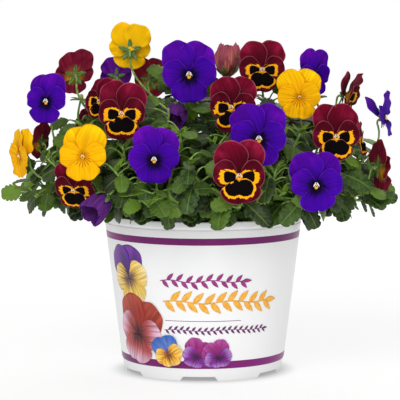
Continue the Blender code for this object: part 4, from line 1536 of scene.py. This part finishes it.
def mixSkin():
    wires = Wiring("darkPeat", Roughness=0.95, Specular_IOR_Level=0.15)
    clods = wires.noise(wires.place(), 190.0, 4.0, 0.7)
    fibres = wires.stretched(wires.place(), (420.0, 1260.0, 420.0), 3.0, 0.7)
    peat = wires.mix(wires.step(clods, 0.35, 0.65), *mix["peat"])
    return wires.finish(Base_Color=wires.mix(wires.step(fibres, 0.60, 0.72), peat, mix["fibre"]),
                        Normal=wires.bump(clods + fibres * 0.5, 0.8, 0.0020))


def mixBed():
    edge = foliage["soilRadius"]
    base = pot["underside"] + pot["wall"] + mix["gap"]
    foot = wallRadius(pot["step"]) - pot["wall"] - mix["gap"]
    rings = [edge * (k + 0.3) / (mix["rings"] + 0.3) for k in range(mix["rings"] + 1)]
    profile = [(radius, soilHeight(radius)) for radius in rings]
    profile += [(foot, pot["step"]), (foot - 0.006, base), (0.01, base)]
    bed = turnedPiece("pottingMix", profile, mix["sides"])
    for vertex in bed.data.vertices:
        if vertex.co.z > foliage["soil"][0] - 0.001 and vertex.co.xy.length < edge - 0.0005:
            vertex.co.z += mix["lump"] * (noise.noise(vertex.co * 90) + 0.6 * noise.noise(vertex.co * 260))
    return bed


def placeCrumbs():
    master = added(bpy.ops.mesh.primitive_ico_sphere_add, "crumb", subdivisions=1, radius=1)
    draw = random.Random(mix["seed"])
    crumbs = []
    for index in range(mix["crumbs"]):
        radius = (foliage["soilRadius"] - mix["crumbEdge"]) * math.sqrt(draw.random())
        out = outAt(draw.uniform(0, math.tau))
        size = draw.uniform(*mix["crumb"])
        spin = Matrix.Rotation(draw.uniform(0, 6), 4, (draw.random(), draw.random(), 1))
        shape = Matrix.Diagonal((size, size * draw.uniform(0.6, 1.0), size * draw.uniform(0.5, 0.9), 1))
        place = Matrix.Translation(out * radius + up * (soilHeight(radius) + size * 0.3))
        crumb = copyOf(master, "crumb")
        crumb.data.transform(place @ spin @ shape)
        crumbs.append(crumb)
    removeMasters(master)
    return crumbs


bed = joinPieces("pottingMix", [mixBed()] + placeCrumbs())
giveSkins(bed, [mixSkin()])
bed.data.shade_smooth()
finishPiece(bed, "potting_mix", "potting_mix")
print("potting mix ready")


# floor, light and camera

view = {
    "camera": (-0.0033, -2.6, 0.435), "down": 5.45, "lens": 214.0,
    "floor": 80.0, "paper": ((0.32, 0.32, 0.32), (0.35, 0.35, 0.35)), "white": (1, 1, 1),
    "glow": (0.25, 3.0, 0.71, 0.84),        # the floor's own light, from near the pot to far off
    # the fading of the floor's own light under the pot is a painted shadow
    "paintedShadowUnderPot": (0.074, 0.108, 0.36, 1.0),  # and how it fails under the pot
    "world": 0.44, "aim": (0, 0, 0.2),
    "lights": (
        {"name": "keyLight", "place": (-0.9, -2.4, 1.9), "size": 1.5, "power": 40.0},
        {"name": "fillLight", "place": (2.0, -1.8, 1.2), "size": 1.6, "power": 10.0},
        {"name": "frontLight", "place": (0.3, -2.9, 0.5), "size": 1.4, "power": 13.0},
        {"name": "backLight", "place": (0.4, 1.9, 2.0), "size": 1.6, "power": 17.0},
    ),
}


def makeFloor():
    floor = added(bpy.ops.mesh.primitive_plane_add, "floor", size=view["floor"])
    wires = Wiring("floorPaper", Roughness=0.9, Specular_IOR_Level=0.1, Emission_Color=view["white"])
    x, y, z = wires.split(wires.place())
    fromPot = wires.length(x, y)
    # the floor's own light, fading under the pot into a painted shadow
    glow = wires.step(fromPot, *view["glow"]) * wires.step(fromPot, *view["paintedShadowUnderPot"])
    paper = wires.mix(wires.noise(wires.place(), 40.0), *view["paper"])
    giveSkins(floor, [wires.finish(Base_Color=paper, Emission_Strength=glow)])


def placed(name, data, place):
    obj = bpy.data.objects.new(name, data)
    bpy.context.scene.collection.objects.link(obj)
    obj.location = place
    return obj


def makeLights():
    for plan in view["lights"]:
        light = bpy.data.lights.new(plan["name"], "AREA")
        light.size = plan["size"]
        light.energy = plan["power"]
        lamp = placed(plan["name"], light, plan["place"])
        aim = Vector(view["aim"]) - lamp.location
        lamp.rotation_euler = aim.to_track_quat("-Z", "Y").to_euler()
    world = bpy.data.worlds.new("studio")
    world.use_nodes = True
    sky = world.node_tree.nodes["Background"].inputs
    sky["Color"].default_value = (*view["white"], 1)
    sky["Strength"].default_value = view["world"]
    bpy.context.scene.world = world
    bpy.context.scene.view_settings.view_transform = "Standard"


def makeCamera():
    lens = bpy.data.cameras.new("camera")
    lens.lens = view["lens"]
    lens.sensor_width = 36.0
    camera = placed("camera", lens, view["camera"])
    camera.rotation_euler = (math.radians(90 - view["down"]), 0, 0)
    bpy.context.scene.camera = camera


makeFloor()
makeLights()
makeCamera()
print("floor, light and camera ready")
